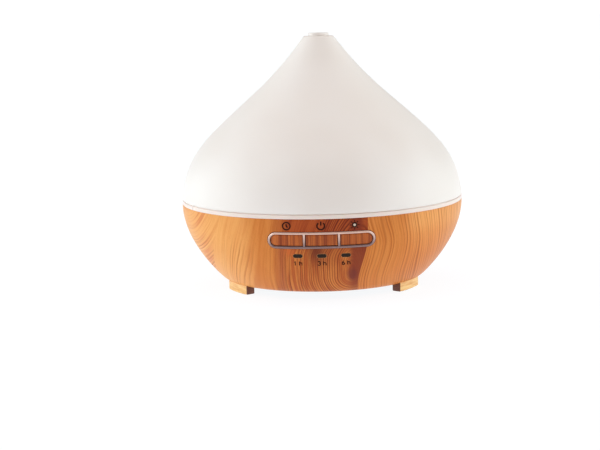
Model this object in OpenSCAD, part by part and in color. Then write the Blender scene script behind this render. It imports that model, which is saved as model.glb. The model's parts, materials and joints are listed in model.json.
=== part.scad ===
// Ultrasonic essential oil diffuser: a wood-print bowl that holds the water tank, the fan and the
// electronics, an inner lid with a chimney, and a frosted onion-shaped cover that lifts off.
// Millimetres, +Z up. The buttons face -Y. The origin is the middle of the base, on the surface it stands on.

/* [Overall] */
// Largest diameter, at the seam between the bowl and the cover
body_d = 168; // [166:0.5:170]
// Height of the mist spout's top
total_h = 150.7; // [149.5:0.1:153.5]
// Height of the bowl's upper edge
bowl_top_z = 50.7; // [50.3:0.1:51.2]
// Clearance under the bowl, which is the height of the feet
foot_h = 4.7; // [4.5:0.1:4.9]

/* [Walls] */
// Wall of the wood-print bowl
bowl_wall = 2.3; // [2:0.1:2.4]
// Wall of the frosted cover
cover_wall = 2.2; // [1.8:0.1:2.4]
// Wall of the water tank
tank_wall = 2; // [1.6:0.1:2.2]
// Wall of the inner lid
lid_wall = 1.8; // [1.4:0.1:2]

/* [Light ring] */
// Height of the pale band that shows between the bowl and the cover
band_h = 2.4; // [2:0.1:2.6]
// Depth of the shadow groove between the band and the cover
seam_gap = 0.3; // [0.2:0.05:0.4]

/* [Button panel] */
// Height of the button row's middle
panel_z = 38.5; // [37.5:0.5:39.5]
// Length of the button frame
bezel_l = 60.2; // [58:0.2:62]
// Height of the button frame
bezel_h = 9.5; // [9:0.1:10]
// Width of the frame's rim
bezel_rim = 1.3; // [1.1:0.1:1.5]
// How far the rim stands out of the bowl
bezel_proud = 0.7; // [0.4:0.1:0.9]
// Distance of the two separators from the middle
separator_x = 9.75; // [9:0.25:11]
// Width of a separator
separator_w = 1.2; // [1:0.1:1.4]
// Gap round each button cap
button_gap = 0.2; // [0.15:0.05:0.3]
// Travel of a button
button_travel = 0.5; // [0.3:0.1:0.6]

/* [Indicators] */
// Height of the row of indicator windows
indicator_z = 29.1; // [28.5:0.1:29.5]
// Distance between the windows
indicator_pitch = 13.5; // [12:0.5:14]
// Length of a window
indicator_l = 5.4; // [4.8:0.2:5.8]
// Height of a window
indicator_h = 2.4; // [2:0.2:2.8]

/* [Feet] */
// Inner radius of the arc-shaped feet
foot_r_in = 54; // [53.6:0.1:54.4]
// Outer radius of the feet
foot_r_out = 59.6; // [59:0.1:60]
// Angle that one foot spans
foot_span = 22.8; // [20:0.2:26]

/* [Power inlet] */
// Height of the inlet's axis
jack_z = 15.5; // [15.3:0.1:15.9]
// Radius of the inlet's round hole in the bowl
jack_hole_r = 5.6; // [5.2:0.1:6]
// Radius of the socket's bore
jack_bore_r = 2.9; // [2.8:0.05:3]
// Radius of the socket's centre pin
jack_pin_r = 1.0; // [0.95:0.05:1.05]

/* [Hidden] */
$fn = 96;

wood = "#D9A066";
foot_wood = "#D9AC6A";
frosted = "#F3F1EE";
tank_white = "#E9EDEE";
ring_clear = "#F6EFEC";
rim_silver = "#D8C9C6";
lens_dark = "#4A3A2C";
rubber_grey = "#4C4C4C";
steel = "#B9BCC0";
brass = "#C9A55A";
copper = "#B5703C";
board_green = "#2E6B45";
black = "#242426";
led_white = "#FFF6DC";

// Small clearance between pieces that are assembled with no play
snug = 0.05;
// Overlap that keeps a cut from ending flush with a face
cut = 1;

seam_r = body_d / 2;
band_top_z = bowl_top_z + band_h;
cover_z = band_top_z + seam_gap;
shoulder_r = 8.9;
shoulder_z = total_h - 1.8;
neck = [40.6, 114.2];

// Number of straight steps along the bowl's curve and along each half of the cover's
bowl_n = 40;
cover_n = 22;

// The bowl's underside: flat, then a fillet up to the side
base_flat_r = 56.5;
side_start = [61.9, foot_h + 2.8];
floor_z = foot_h + 3.2;
bowl_curve = [side_start, [67.7, foot_h + 8.4], [seam_r, 30.8], [seam_r, bowl_top_z]];
fillet_curve = [[base_flat_r, foot_h], [58.1, foot_h], [59.9, foot_h + 0.9], side_start];

cover_low = [[seam_r, cover_z + 0.4], [seam_r - 2.8, 79], [seam_r - 13, 87.4], neck];
cover_high = [neck, [25.2, 127.8], [17.1, shoulder_z - 10.8], [shoulder_r, shoulder_z]];

tank_rim_z = 57.5;
flange_z = bowl_top_z + 0.1;
flange_t = 2;
flange_r = 78.7;
collar_r = 69;
tank_top_r = 67;
tank_floor_z = 22;
tank_under_z = tank_floor_z - tank_wall;
tank_curve = [[66.4, 50.5], [65.2, 36.5], [60, tank_floor_z], [44, tank_floor_z]];
tank_n = 18;
tank_hole_r = 8.5;

lid_skirt_r = 71.2;
lid_curve = [[lid_skirt_r, tank_rim_z + 0.8], [66, 76.5], [30, 82.5], [9.5, 92.5]];
lid_n = 20;
chimney_r = 8;
chimney_bore_r = 6;
chimney_top_z = 118.5;

boss_xy = 30;
boss_r = 3.4;
screw_r = 1.45;
pilot_r = screw_r + snug;

bottom_cover_r = 52.5;
bottom_cover_z = foot_h + 0.2;
bottom_cover_t = 2;
bottom_inner_z = bottom_cover_z + bottom_cover_t;
// Where the screw holes of the bottom's posts end
post_hole_z = bottom_inner_z - 1;
lip_r = 47;

fan_x = 32;
fan_side = 30;
fan_z = 8.3;
fan_h = 10;
fan_cavity_r = 13.2;
fan_inlet_r = 9;
fan_plate = 1;
fan_hole_xy = 12.5;
fan_post_r = 2.5;
rotor_r = 12.2;
rotor_z = fan_z + 1.5;
rotor_h = 7;
hub_r = 6.8;
blades = 11;
shaft_r = 1;

tower_x = [46, 58];
tower_y = 14;
tower_wall = 1.6;
tower_top_z = 56.5;
tower_skirt_z = 19;
tower_window_z = 49.5;

seal_r = 12.8;
seal_z = 16.7;
disc_r = 10;
disc_z = seal_z + 1.15;
disc_t = 1;
clamp_t = 1.6;
clamp_ear_r = 18.5;
clamp_angles = [60, 180, 300];

board_z = 9.5;
board_t = 1.6;
board_top_z = board_z + board_t;
board_r = 44;
board_x = 13;
standoffs = [[-36, 12], [-36, -12], [8, 36], [8, -36]];
connectors = [[2.4, 37.5], [8, 23], [-15, 36.5], [0, -38], [-24.5, 0]];
connector = [5, 5, 5.5];

led_board_z = 45.5;
led_board_t = 1.2;
led_post_r = 71.5;
led_r = 75;
led_count = 8;

button_board_y = -70;
button_board_t = 1.6;
button_x = 19.6;
board_boss = [23.5, 31.7];
switch_h = 1.7;
// The switches' plungers are drawn pressed, and each stem stops this far in front of them when its cap is in
plunger_h = 0.3;
stem_clear = 0.1;

jack_y = [48, 62];
jack_w = 9;
jack_h = 8.4;
jack_pin_y = [51.5, 61];

foot_angles = [-150, -30, 90];
peg_r = 1.75;
peg_pitch_r = 56.6;
pad_t = 1.2;
pad_proud = 0.3;
pad_inset = 1;

wire_r = 0.6;
// Space between a wire's end and the face that it meets
wire_gap = 0.35;

// ---------- curves ----------

// Point on a cubic curve, its direction, and the same point moved d along the outward normal
function bez(p, t) = pow(1 - t, 3) * p[0] + 3 * t * pow(1 - t, 2) * p[1]
    + 3 * t * t * (1 - t) * p[2] + pow(t, 3) * p[3];
function bez_dir(p, t) = pow(1 - t, 2) * (p[1] - p[0]) + 2 * t * (1 - t) * (p[2] - p[1])
    + t * t * (p[3] - p[2]);
function bez_off(p, t, d) = let (v = bez_dir(p, t)) bez(p, t) + d * [v[1], -v[0]] / norm(v);

// n steps along a curve from t = a to t = b, moved d outwards
function curve(p, n, d = 0, a = 0, b = 1) = [for (i = [0:n]) bez_off(p, a + (b - a) * i / n, d)];
function reversed(list) = [for (i = [len(list) - 1:-1:0]) list[i]];

// A smooth path through hand-placed points, steps pieces between each two
function spline_point(a, b, c, d, t) = 0.5 * (2 * b + (c - a) * t
    + (2 * a - 5 * b + 4 * c - d) * t * t + (3 * b - a - 3 * c + d) * t * t * t);
function smooth(p, steps) = let (n = len(p)) [
    for (i = [0:n - 2], k = [0:steps - 1])
        spline_point(p[max(i - 1, 0)], p[i], p[i + 1], p[min(i + 2, n - 1)], k / steps),
    p[n - 1]
];

// Unit vectors across a path, carried along it without twisting
function unit(v) = v / norm(v);
function tangent(p, i) = unit(p[min(i + 1, len(p) - 1)] - p[max(i - 1, 0)]);
function across(v, t) = unit(v - (v * t) * t);
function side_vectors(p, i = 0, last = [0, 1, 0.3]) = i >= len(p) ? []
    : let (s = across(last, tangent(p, i))) concat([s], side_vectors(p, i + 1, s));

// A round wire swept along a path
module wire(points, r = wire_r, sides = 8) {
    path = smooth(points, 4);
    sv = side_vectors(path);
    rings = len(path);
    verts = [
        for (i = [0:rings - 1], k = [0:sides - 1])
            let (u = sv[i], w = cross(tangent(path, i), sv[i]), a = 360 * k / sides)
            path[i] + r * (cos(a) * u + sin(a) * w)
    ];
    walls = [
        for (i = [0:rings - 2], k = [0:sides - 1])
            let (a = i * sides + k, b = i * sides + (k + 1) % sides)
            [a, a + sides, b + sides, b]
    ];
    first = [for (k = [0:sides - 1]) k];
    last = [for (k = [sides - 1:-1:0]) (rings - 1) * sides + k];
    polyhedron(points = verts, faces = concat(walls, [first, last]));
}

// ---------- shared shapes ----------

// A bar with round ends
module stadium(l, h) {
    square([l - h, h], center = true);
    for (s = [-1, 1]) translate([s * (l - h) / 2, 0]) circle(d = h);
}

// A flat outline pushed through the front of the bowl, along Y
module through_front(z) {
    translate([0, -60, z]) rotate([90, 0, 0]) linear_extrude(30) children();
}

// The front of the bowl's skin, from d_out outside its outer face to d_in inside it
module skin(d_out, d_in) {
    outer = curve(bowl_curve, 18, d_out, 0.5, 0.95);
    inner = curve(bowl_curve, 18, -d_in, 0.5, 0.95);
    rotate([0, 0, -120]) rotate_extrude(angle = 60) polygon(concat(outer, reversed(inner)));
}

// The bowl's outer face as a solid, used to trim what meets it
module bowl_solid() {
    rotate_extrude() polygon(concat(
        [[0, foot_h]], curve(fillet_curve, 6), curve(bowl_curve, bowl_n), [[0, bowl_top_z]]
    ));
}

// A cross-head screw standing on its head's outer face, which is at z = 0
module screw(head_r, head_h, r, l) {
    difference() {
        cylinder(r = head_r, h = head_h);
        for (a = [0, 90]) rotate([0, 0, a]) translate([0, 0, 0.3]) cube([head_r * 1.2, 0.6, 1.2], center = true);
    }
    translate([0, 0, head_h]) cylinder(r = r, h = l);
}

module at_bosses() {
    for (x = [-1, 1], y = [-1, 1]) translate([x * boss_xy, y * boss_xy, 0]) children();
}

module at_angles(angles, r) {
    for (a = angles) rotate([0, 0, a]) translate([r, 0, 0]) children();
}

module ring(r_out, r_in, z, h) {
    translate([0, 0, z]) difference() {
        cylinder(r = r_out, h = h);
        translate([0, 0, -cut]) cylinder(r = r_in, h = h + 2 * cut);
    }
}

module block(x, y, z) {
    translate([x[0], y[0], z[0]]) cube([x[1] - x[0], y[1] - y[0], z[1] - z[0]]);
}

// ---------- bowl, bottom and feet ----------

module base_shell_body() {
    rotate_extrude() polygon(concat(
        [[53, foot_h]],
        curve(fillet_curve, 6),
        curve(bowl_curve, bowl_n),
        reversed(curve(bowl_curve, bowl_n, -bowl_wall)),
        [[59.6, floor_z], [lip_r, floor_z], [lip_r, bottom_inner_z], [53, bottom_inner_z]]
    ));
    // Sleeve that guides the plug through the sloping wall
    intersection() {
        bowl_solid();
        translate([0, jack_y[1], jack_z]) rotate([-90, 0, 0]) cylinder(r = jack_hole_r + 1.6, h = 20);
    }
    // Cradle under the power socket
    block([-6, 6], [48, 57], [floor_z - 0.5, jack_z - jack_h / 2]);
    // Bosses for the button board's screws
    for (s = [-1, 1]) translate([s * board_boss[0], button_board_y, board_boss[1]])
        rotate([90, 0, 0]) cylinder(r = 2.2, h = 5);
}

module base_shell() {
    color(wood) difference() {
        base_shell_body();
        through_front(panel_z) stadium(bezel_l - 1.2, bezel_h - 1.2);
        for (i = [-1:1]) through_front(indicator_z) translate([i * indicator_pitch, 0])
            stadium(indicator_l, indicator_h);
        translate([0, jack_y[1] - cut, jack_z]) rotate([-90, 0, 0]) cylinder(r = jack_hole_r, h = 30);
        for (a = foot_angles, s = [-1, 1]) rotate([0, 0, a + s * 5])
            translate([peg_pitch_r, 0, 0]) cylinder(r = peg_r + snug, h = 12);
        for (s = [-1, 1]) translate([s * board_boss[0], button_board_y + cut, board_boss[1]])
            rotate([90, 0, 0]) cylinder(r = 0.95, h = 4 + cut);
        // Relief in the floor's edge for the fan's outer post
        translate([fan_x + fan_hole_xy, -fan_hole_xy, bottom_inner_z - cut])
            cylinder(r = fan_post_r + 0.2, h = floor_z - bottom_inner_z + 2 * cut);
    }
}

module bottom_cover() {
    color(black) difference() {
        union() {
            translate([0, 0, bottom_cover_z]) cylinder(r = bottom_cover_r, h = bottom_cover_t);
            at_bosses() translate([0, 0, bottom_inner_z - snug]) cylinder(r = 4.2, h = floor_z - bottom_inner_z + snug);
            for (p = standoffs) translate([p[0], p[1], bottom_inner_z - snug])
                cylinder(r = 2.5, h = board_z - bottom_inner_z + snug);
            for (s = [-1, 1]) translate([fan_x - s * fan_hole_xy, s * fan_hole_xy, bottom_inner_z - snug])
                cylinder(r = fan_post_r, h = fan_z - bottom_inner_z + snug);
        }
        at_bosses() {
            translate([0, 0, bottom_cover_z - cut]) cylinder(r = 1.7, h = 8);
            translate([0, 0, bottom_cover_z - cut]) cylinder(r = 3.2, h = 2.2 + cut);
        }
        for (p = standoffs) translate([p[0], p[1], post_hole_z]) cylinder(r = 1.25, h = 8);
        for (s = [-1, 1]) translate([fan_x - s * fan_hole_xy, s * fan_hole_xy, post_hole_z])
            cylinder(r = 1.25, h = 8);
        // Air inlet grille: slots side by side inside a circle
        for (i = [-3:3]) let (half = sqrt(121 - pow(3 * i, 2)))
            block([fan_x - half, fan_x + half], [3 * i - 0.8, 3 * i + 0.8],
                [bottom_cover_z - cut, bottom_inner_z + cut]);
    }
}

module foot(a) {
    color(foot_wood) {
        difference() {
            rotate([0, 0, a - foot_span / 2]) rotate_extrude(angle = foot_span)
                translate([foot_r_in, pad_proud]) square([foot_r_out - foot_r_in, 6]);
            bowl_solid();
            rotate([0, 0, a - foot_span / 2 + 3]) rotate_extrude(angle = foot_span - 6)
                translate([foot_r_in + pad_inset, 0]) square([foot_r_out - foot_r_in - 2 * pad_inset, pad_t]);
        }
        for (s = [-1, 1]) rotate([0, 0, a + s * 5]) translate([peg_pitch_r, 0, foot_h - 0.4])
            cylinder(r = peg_r, h = floor_z - foot_h);
    }
}

module foot_front_left() foot(foot_angles[0]);
module foot_front_right() foot(foot_angles[1]);
module foot_rear() foot(foot_angles[2]);

module foot_pads() {
    color(rubber_grey) for (a = foot_angles) rotate([0, 0, a - foot_span / 2 + 3.1])
        rotate_extrude(angle = foot_span - 6.2) translate([foot_r_in + pad_inset + snug, 0])
            square([foot_r_out - foot_r_in - 2 * pad_inset - 2 * snug, pad_t]);
}

module bottom_screws() {
    color(steel) at_bosses() translate([0, 0, bottom_cover_z + 0.3]) screw(2.9, 1.9, screw_r, 9.5);
}

// ---------- light ring ----------

module light_ring() {
    color(ring_clear) rotate_extrude() polygon([
        [seam_r, bowl_top_z],
        [seam_r, band_top_z - 0.7],
        [seam_r - 0.2, band_top_z - 0.25],
        [seam_r - 0.7, band_top_z],
        [seam_r - 1.4, band_top_z],
        [seam_r - 1.4, cover_z],
        [seam_r - 2.9, cover_z],
        [seam_r - 2.9, tank_rim_z],
        [seam_r - 4.5, tank_rim_z],
        [seam_r - 4.5, flange_z],
        [flange_r - 4.7, flange_z],
        [flange_r - 4.7, flange_z - 1.5],
        [seam_r - 4.4, flange_z - 1.5],
        [seam_r - 4.4, bowl_top_z - 4],
        [seam_r - 2.6, bowl_top_z - 4],
        [seam_r - 2.6, bowl_top_z]
    ]);
}

// ---------- water tank ----------

module tank_vessel() {
    rotate_extrude() polygon(concat(
        [[tank_top_r, tank_rim_z]],
        curve(tank_curve, tank_n),
        [[tank_hole_r, tank_floor_z], [tank_hole_r, tank_under_z], [44, tank_under_z]],
        reversed(curve(tank_curve, tank_n, -tank_wall)),
        [
            [68.4, flange_z], [flange_r, flange_z], [flange_r, flange_z + flange_t],
            [collar_r, flange_z + flange_t], [collar_r, tank_rim_z]
        ]
    ));
}

module tower_block() {
    block(tower_x, [-tower_y, tower_y], [tower_skirt_z, tower_top_z]);
}

// Tube in the tank's floor that lets the fan's air out above the water
module air_tower() {
    inside_x = [tower_x[0] + tower_wall, tower_x[1] - tower_wall];
    inside_y = tower_y - tower_wall;
    color(tank_white) difference() {
        tower_block();
        block(inside_x, [-inside_y, inside_y], [tower_skirt_z - cut, tower_top_z - tower_wall]);
        block([tower_x[0] - cut, inside_x[0] + cut], [-10, 10], [tower_window_z, tower_top_z - tower_wall]);
    }
}

module water_tank() {
    color(tank_white) difference() {
        union() {
            tank_vessel();
            ring(15, seal_r + 0.2, seal_z, tank_under_z - seal_z + snug);
            at_angles(clamp_angles, clamp_ear_r) translate([0, 0, seal_z])
                cylinder(r = 2.6, h = tank_under_z - seal_z + snug);
            at_bosses() translate([0, 0, floor_z]) cylinder(r = boss_r, h = tank_under_z - floor_z + snug);
            at_angles([45, 135, 225, 315], led_post_r) translate([0, 0, led_board_z + led_board_t])
                cylinder(r = 1.8, h = flange_z - led_board_z - led_board_t + snug);
        }
        tower_block();
        at_bosses() translate([0, 0, floor_z - cut]) cylinder(r = pilot_r, h = 10 + cut);
        at_angles(clamp_angles, clamp_ear_r) translate([0, 0, seal_z - cut]) cylinder(r = 1.05, h = 2.8 + cut);
        at_angles([45, 135, 225, 315], led_post_r) translate([0, 0, led_board_z])
            cylinder(r = 0.85, h = 5);
    }
}

// ---------- mist maker under the tank ----------

module transducer_seal() {
    color("#E8E2D6") rotate_extrude() polygon([
        [tank_hole_r, seal_z], [seal_r, seal_z], [seal_r, tank_under_z], [tank_hole_r, tank_under_z],
        [tank_hole_r, disc_z + disc_t + snug], [disc_r + 0.1, disc_z + disc_t + snug],
        [disc_r + 0.1, disc_z - snug], [tank_hole_r, disc_z - snug]
    ]);
}

module transducer_disc() {
    color(steel) translate([0, 0, disc_z]) cylinder(r = disc_r, h = disc_t);
}

module transducer_clamp() {
    color(steel) translate([0, 0, seal_z - clamp_t]) difference() {
        union() {
            cylinder(r = 15, h = clamp_t);
            at_angles(clamp_angles, clamp_ear_r) cylinder(r = 2.8, h = clamp_t);
            at_angles(clamp_angles, 14) translate([0, -2, 0]) cube([4, 4, clamp_t]);
        }
        translate([0, 0, -cut]) cylinder(r = 7, h = 4);
        at_angles(clamp_angles, clamp_ear_r) translate([0, 0, -cut]) cylinder(r = 1.1, h = 4);
    }
}

module transducer_screws() {
    color(steel) at_angles(clamp_angles, clamp_ear_r) translate([0, 0, seal_z - clamp_t - 1.4])
        screw(2, 1.4, 1, 4.2);
}

module transducer_wires() {
    color("#B0302C") for (s = [-1, 1]) wire([
        [-3, 1.5 * s, disc_z - wire_gap], [-4, 1.5 * s, 15.9], [-6.5, 1.6 * s, 13.5], [-11, 1.5 * s, 12.7],
        [-17, 1.3 * s, 12.5], [-22, 1.2 * s, 12.8]
    ]);
}

// ---------- blower ----------

module fan_housing() {
    color(black) translate([fan_x, 0, fan_z]) difference() {
        translate([-fan_side / 2, -fan_side / 2, 0]) cube([fan_side, fan_side, fan_h]);
        translate([0, 0, fan_plate]) cylinder(r = fan_cavity_r, h = fan_h - 2 * fan_plate);
        translate([0, 0, -cut]) cylinder(r = fan_inlet_r, h = 3);
        block([0, fan_side / 2 + cut], [-fan_cavity_r + 0.6, 2], [fan_plate + 0.4, fan_h - fan_plate - 0.4]);
        for (s = [-1, 1]) translate([-s * fan_hole_xy, s * fan_hole_xy, 0]) {
            translate([0, 0, -cut]) cylinder(r = 1.3, h = fan_h + 2 * cut);
            translate([0, 0, fan_h - 1.4]) cylinder(r = 2.2, h = 3);
        }
    }
}

module fan_stator() {
    color(copper) translate([fan_x, 0, 0]) difference() {
        ring(4.6, 2.5 + snug, rotor_z + 1.5, fan_z + fan_h - fan_plate - rotor_z - 1.5);
        for (i = [0:3]) rotate([0, 0, 45 + 90 * i])
            block([3.4, 5], [-0.6, 0.6], [rotor_z, fan_z + fan_h - fan_plate - 0.8]);
    }
}

module fan_bearing() {
    color(brass) translate([fan_x, 0, 0])
        ring(2.5, shaft_r + snug, rotor_z + 1.5, fan_z + fan_h - fan_plate - rotor_z - 1.5);
}

module fan_rotor() {
    color("#3A3A3E") translate([fan_x, 0, rotor_z]) difference() {
        union() {
            cylinder(r = hub_r, h = rotor_h);
            ring(rotor_r, hub_r - 0.5, rotor_h - 0.6, 0.6);
            ring(rotor_r, rotor_r - 1.2, 0, 0.6);
            intersection() {
                cylinder(r = rotor_r, h = rotor_h);
                for (i = [0:blades - 1]) rotate([0, 0, 360 * i / blades]) translate([hub_r - 0.4, 0, 0])
                    rotate([0, 0, 30]) translate([0, -0.4, 0]) cube([8, 0.8, rotor_h]);
            }
        }
        translate([0, 0, 1]) cylinder(r = hub_r - 1, h = rotor_h);
    }
}

module fan_shaft() {
    color(steel) translate([fan_x, 0, rotor_z + 1]) cylinder(r = shaft_r, h = rotor_h - 1.4);
}

module rotor_magnet() {
    color("#2A2A2C") translate([fan_x, 0, 0]) ring(hub_r - 1, hub_r - 1.6, rotor_z + 1, rotor_h - 1.2);
}

module fan_screws() {
    color(steel) for (s = [-1, 1]) translate([fan_x - s * fan_hole_xy, s * fan_hole_xy, fan_z + fan_h])
        rotate([180, 0, 0]) screw(2.1, 1.4, 1.2, fan_h - 1.4 + 2);
}

module fan_wires() {
    color("#C03A30") for (s = [-1, 1]) let (z = 12.9 + 0.7 * s) wire([
        [fan_x - fan_side / 2, 9.6, z], [15.2, 10.2, z], [13.4, 13.5, z], [12.8, 18, z], [11.8, 22.2, z],
        [10.5 + wire_gap, 23, z]
    ], 0.5);
}

// Elbow that carries the fan's air up into the tank's air tower
module air_duct() {
    x = [fan_x + fan_side / 2, tower_x[1]];
    color("#D5D8DA") difference() {
        block(x, [-tower_y, tower_y], [fan_z + 0.2, tower_skirt_z]);
        block([x[0] + 1.2, x[1] - 1.4], [-12.6, 12.6], [fan_z + 1.4, tower_skirt_z + cut]);
        block([x[0] - cut, x[0] + 2], [-fan_cavity_r + 0.6, 2], [fan_z + 1.4, fan_z + fan_h - 1.4]);
    }
}

// ---------- main board ----------

module main_board() {
    color(board_green) translate([0, 0, board_z]) difference() {
        cylinder(r = board_r, h = board_t);
        block([board_x, 60], [-60, 60], [-cut, board_t + cut]);
        translate([0, 0, -cut]) cylinder(r = 16, h = 4);
        at_bosses() translate([0, 0, -cut]) cylinder(r = 4, h = 4);
        for (p = standoffs) translate([p[0], p[1], -cut]) cylinder(r = 1.35, h = 4);
    }
}

module driver_coil() {
    color(copper) translate([-28, 14, board_top_z]) {
        cylinder(r = 5, h = 1);
        translate([0, 0, 0.9]) cylinder(r = 4, h = 5.4);
        translate([0, 0, 6.2]) cylinder(r = 5, h = 1);
    }
}

module heat_sink() {
    color("#8F9396") translate([-33, -22, board_top_z]) {
        cube([13, 1.4, 7.5]);
        for (i = [0:4]) translate([2.9 * i, 1.3, 0]) cube([1.2, 3.6, 7.5]);
    }
}

module power_transistor() {
    color(black) translate([-31, -26.6, board_top_z]) {
        cube([9, 4.6, 6.5]);
    }
}

module capacitors() {
    color("#39424E") for (p = [[-4, 35.5, 3.4, 7.6], [-23, 26, 3, 6.6], [-31, 4.8, 2.4, 5.4], [-12, -34, 3.2, 7.2]])
        translate([p[0], p[1], board_top_z]) cylinder(r = p[2], h = p[3]);
}

module control_chip() {
    color(black) {
        translate([-26, -10, board_top_z + 0.2]) translate([0, -2, 0]) cube([8, 5, 1.4]);
        for (i = [0:3], s = [0, 1]) translate([-25.4 + 2 * i, s == 0 ? -12.9 : -7, board_top_z])
            cube([0.8, 0.9, 0.7]);
    }
}

module board_connectors() {
    color("#E4E0D4") for (p = connectors) translate([p[0], p[1], board_top_z])
        translate([-connector[0] / 2, -connector[1] / 2, 0]) cube(connector);
}

module board_screws() {
    color(steel) for (p = standoffs) translate([p[0], p[1], board_top_z + 1.3])
        rotate([180, 0, 0]) screw(2.2, 1.3, 1.2, 4.8);
}

// ---------- mood light ----------

module led_board() {
    color("#F0F0EA") difference() {
        ring(78.5, 69, led_board_z, led_board_t);
        at_angles([45, 135, 225, 315], led_post_r) translate([0, 0, led_board_z - cut])
            cylinder(r = 1.1, h = 4);
    }
}

module leds() {
    color(led_white) at_angles([for (i = [0:led_count - 1]) 360 * (i + 0.5) / led_count], led_r)
        translate([-1.75, -1.75, led_board_z + led_board_t]) cube([3.5, 3.5, 1.2]);
}

module led_screws() {
    color(steel) at_angles([45, 135, 225, 315], led_post_r) translate([0, 0, led_board_z - 1.2])
        screw(1.9, 1.2, 0.8, 5);
}

module led_wires() {
    color("#D8D8D0") for (s = [-1, 1]) wire([
        [-36.8 + s, 63.6, led_board_z], [-36.6 + s, 63.2, 40.5], [-35 + s, 60.5, 30.5], [-31 + s, 54.5, 20.5],
        [-25 + s, 47, 15.1], [-18 + s, 42, 13.7], [-15.4 + 0.8 * s, 39 + wire_gap, 13.5]
    ], 0.5);
}

// ---------- button panel ----------

module button_board() {
    color(board_green) translate([0, button_board_y + button_board_t, 0]) rotate([90, 0, 0])
        linear_extrude(button_board_t) difference() {
            union() {
                translate([-30, 33.5]) square([60, 11]);
                translate([-27, 30]) square([54, 4]);
                translate([-19, 26]) square([38, 8]);
            }
            for (s = [-1, 1]) translate([s * board_boss[0], board_boss[1]]) circle(r = 1.1);
        }
}

module tact_switches() {
    for (i = [-1:1]) translate([i * button_x, button_board_y, panel_z]) rotate([90, 0, 0]) {
        color(black) translate([-3, -3, 0]) cube([6, 6, switch_h]);
        color("#D8D8D8") translate([0, 0, switch_h - snug]) cylinder(r = 1.6, h = plunger_h + snug);
    }
}

module indicator_leds() {
    color(led_white) for (i = [-1:1]) translate([i * indicator_pitch, button_board_y, indicator_z])
        rotate([90, 0, 0]) translate([-1.6, -0.8, 0]) cube([3.2, 1.6, 1.1]);
}

module button_board_screws() {
    color(steel) for (s = [-1, 1])
        translate([s * board_boss[0], button_board_y + button_board_t + 1.2, board_boss[1]])
            rotate([90, 0, 0]) screw(1.8, 1.2, 0.9, 5);
}

module button_cable() {
    color("#C9C9C4") for (x = [-2.1, -0.7, 0.7, 2.1]) wire([
        [x, button_board_y + button_board_t + wire_gap, 30.5], [x, -66, 29.7], [x, -63.5, 25.5], [x, -58, 19],
        [x, -50, 14.7], [x, -43.5, 13.7], [x, -40.5, 13.5]
    ], 0.5);
}

module button_bezel() {
    hole_l = bezel_l - 2 * bezel_rim;
    hole_h = bezel_h - 2 * bezel_rim;
    color(rim_silver) {
        // Rim that lies on the bowl
        intersection() {
            skin(bezel_proud, -0.02);
            through_front(panel_z) difference() {
                stadium(bezel_l, bezel_h);
                stadium(hole_l, hole_h);
            }
        }
        // Collar that fills the slot
        intersection() {
            skin(0.4, 2.9);
            through_front(panel_z) difference() {
                stadium(bezel_l - 1.3, bezel_h - 1.3);
                stadium(hole_l, hole_h);
            }
        }
        // Separators between the buttons
        intersection() {
            skin(0.4, 2.9);
            through_front(panel_z) for (s = [-1, 1]) translate([s * separator_x, 0])
                square([separator_w, hole_h + 0.4], center = true);
        }
    }
}

// Outline of one button cap: i = -1 left, 0 middle, 1 right. grow widens it on every side.
module cap_outline(i, grow) {
    l = bezel_l - 2 * bezel_rim - 2 * button_gap + 2 * grow;
    h = bezel_h - 2 * bezel_rim - 2 * button_gap + 2 * grow;
    edge = separator_w / 2 + button_gap - grow;
    intersection() {
        stadium(l, h);
        if (i == 0) square([2 * (separator_x - edge), h + cut], center = true);
        else translate([i * (separator_x + edge + l / 2), 0]) square([l, h + cut], center = true);
    }
}

// A cap with a hollow back, a lip that keeps it behind the frame, and the stem that presses its switch
module button_cap(i) {
    rear_y = button_board_y - switch_h - plunger_h - stem_clear - button_travel;
    color(wood) {
        difference() {
            intersection() {
                skin(0.15, 4);
                through_front(panel_z) cap_outline(i, 0);
            }
            intersection() {
                skin(-1.6, 6);
                through_front(panel_z) cap_outline(i, -1);
            }
        }
        intersection() {
            skin(-3.2, 4);
            through_front(panel_z) difference() {
                cap_outline(i, 0.7);
                cap_outline(i, -1);
            }
        }
        intersection() {
            skin(-1.2, 10);
            translate([i * button_x, rear_y, panel_z]) rotate([90, 0, 0]) cylinder(r = 1.6, h = 20);
        }
    }
}

module button_timer() button_cap(-1);
module button_power() button_cap(0);
module button_light() button_cap(1);

module indicator_lens(i) {
    color(lens_dark) intersection() {
        skin(0.05, 4);
        through_front(indicator_z) translate([i * indicator_pitch, 0])
            stadium(indicator_l - 0.1, indicator_h - 0.1);
    }
}

module indicator_lens_left() indicator_lens(-1);
module indicator_lens_middle() indicator_lens(0);
module indicator_lens_right() indicator_lens(1);

// ---------- power inlet ----------

module power_jack() {
    color(black) difference() {
        block([-jack_w / 2, jack_w / 2], jack_y, [jack_z - jack_h / 2, jack_z + jack_h / 2]);
        translate([0, jack_pin_y[0], jack_z]) rotate([-90, 0, 0]) cylinder(r = jack_bore_r, h = 20);
    }
}

module power_jack_pin() {
    color(steel) translate([0, jack_pin_y[0], jack_z]) rotate([-90, 0, 0])
        cylinder(r = jack_pin_r, h = jack_pin_y[1] - jack_pin_y[0]);
}

module jack_wires() {
    color(black) for (s = [-1, 1]) wire([
        [2 * s, jack_y[0] - wire_gap, 13.5], [0.6 + 1.8 * s, 46.4, 13.5], [1.6 + 1.4 * s, 43.6, 13.5],
        [2.4 + 1.2 * s, 41, 13.5], [2.4 + 1.2 * s, 40 + wire_gap, 13.5]
    ], 0.55);
}

// ---------- lids ----------

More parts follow.
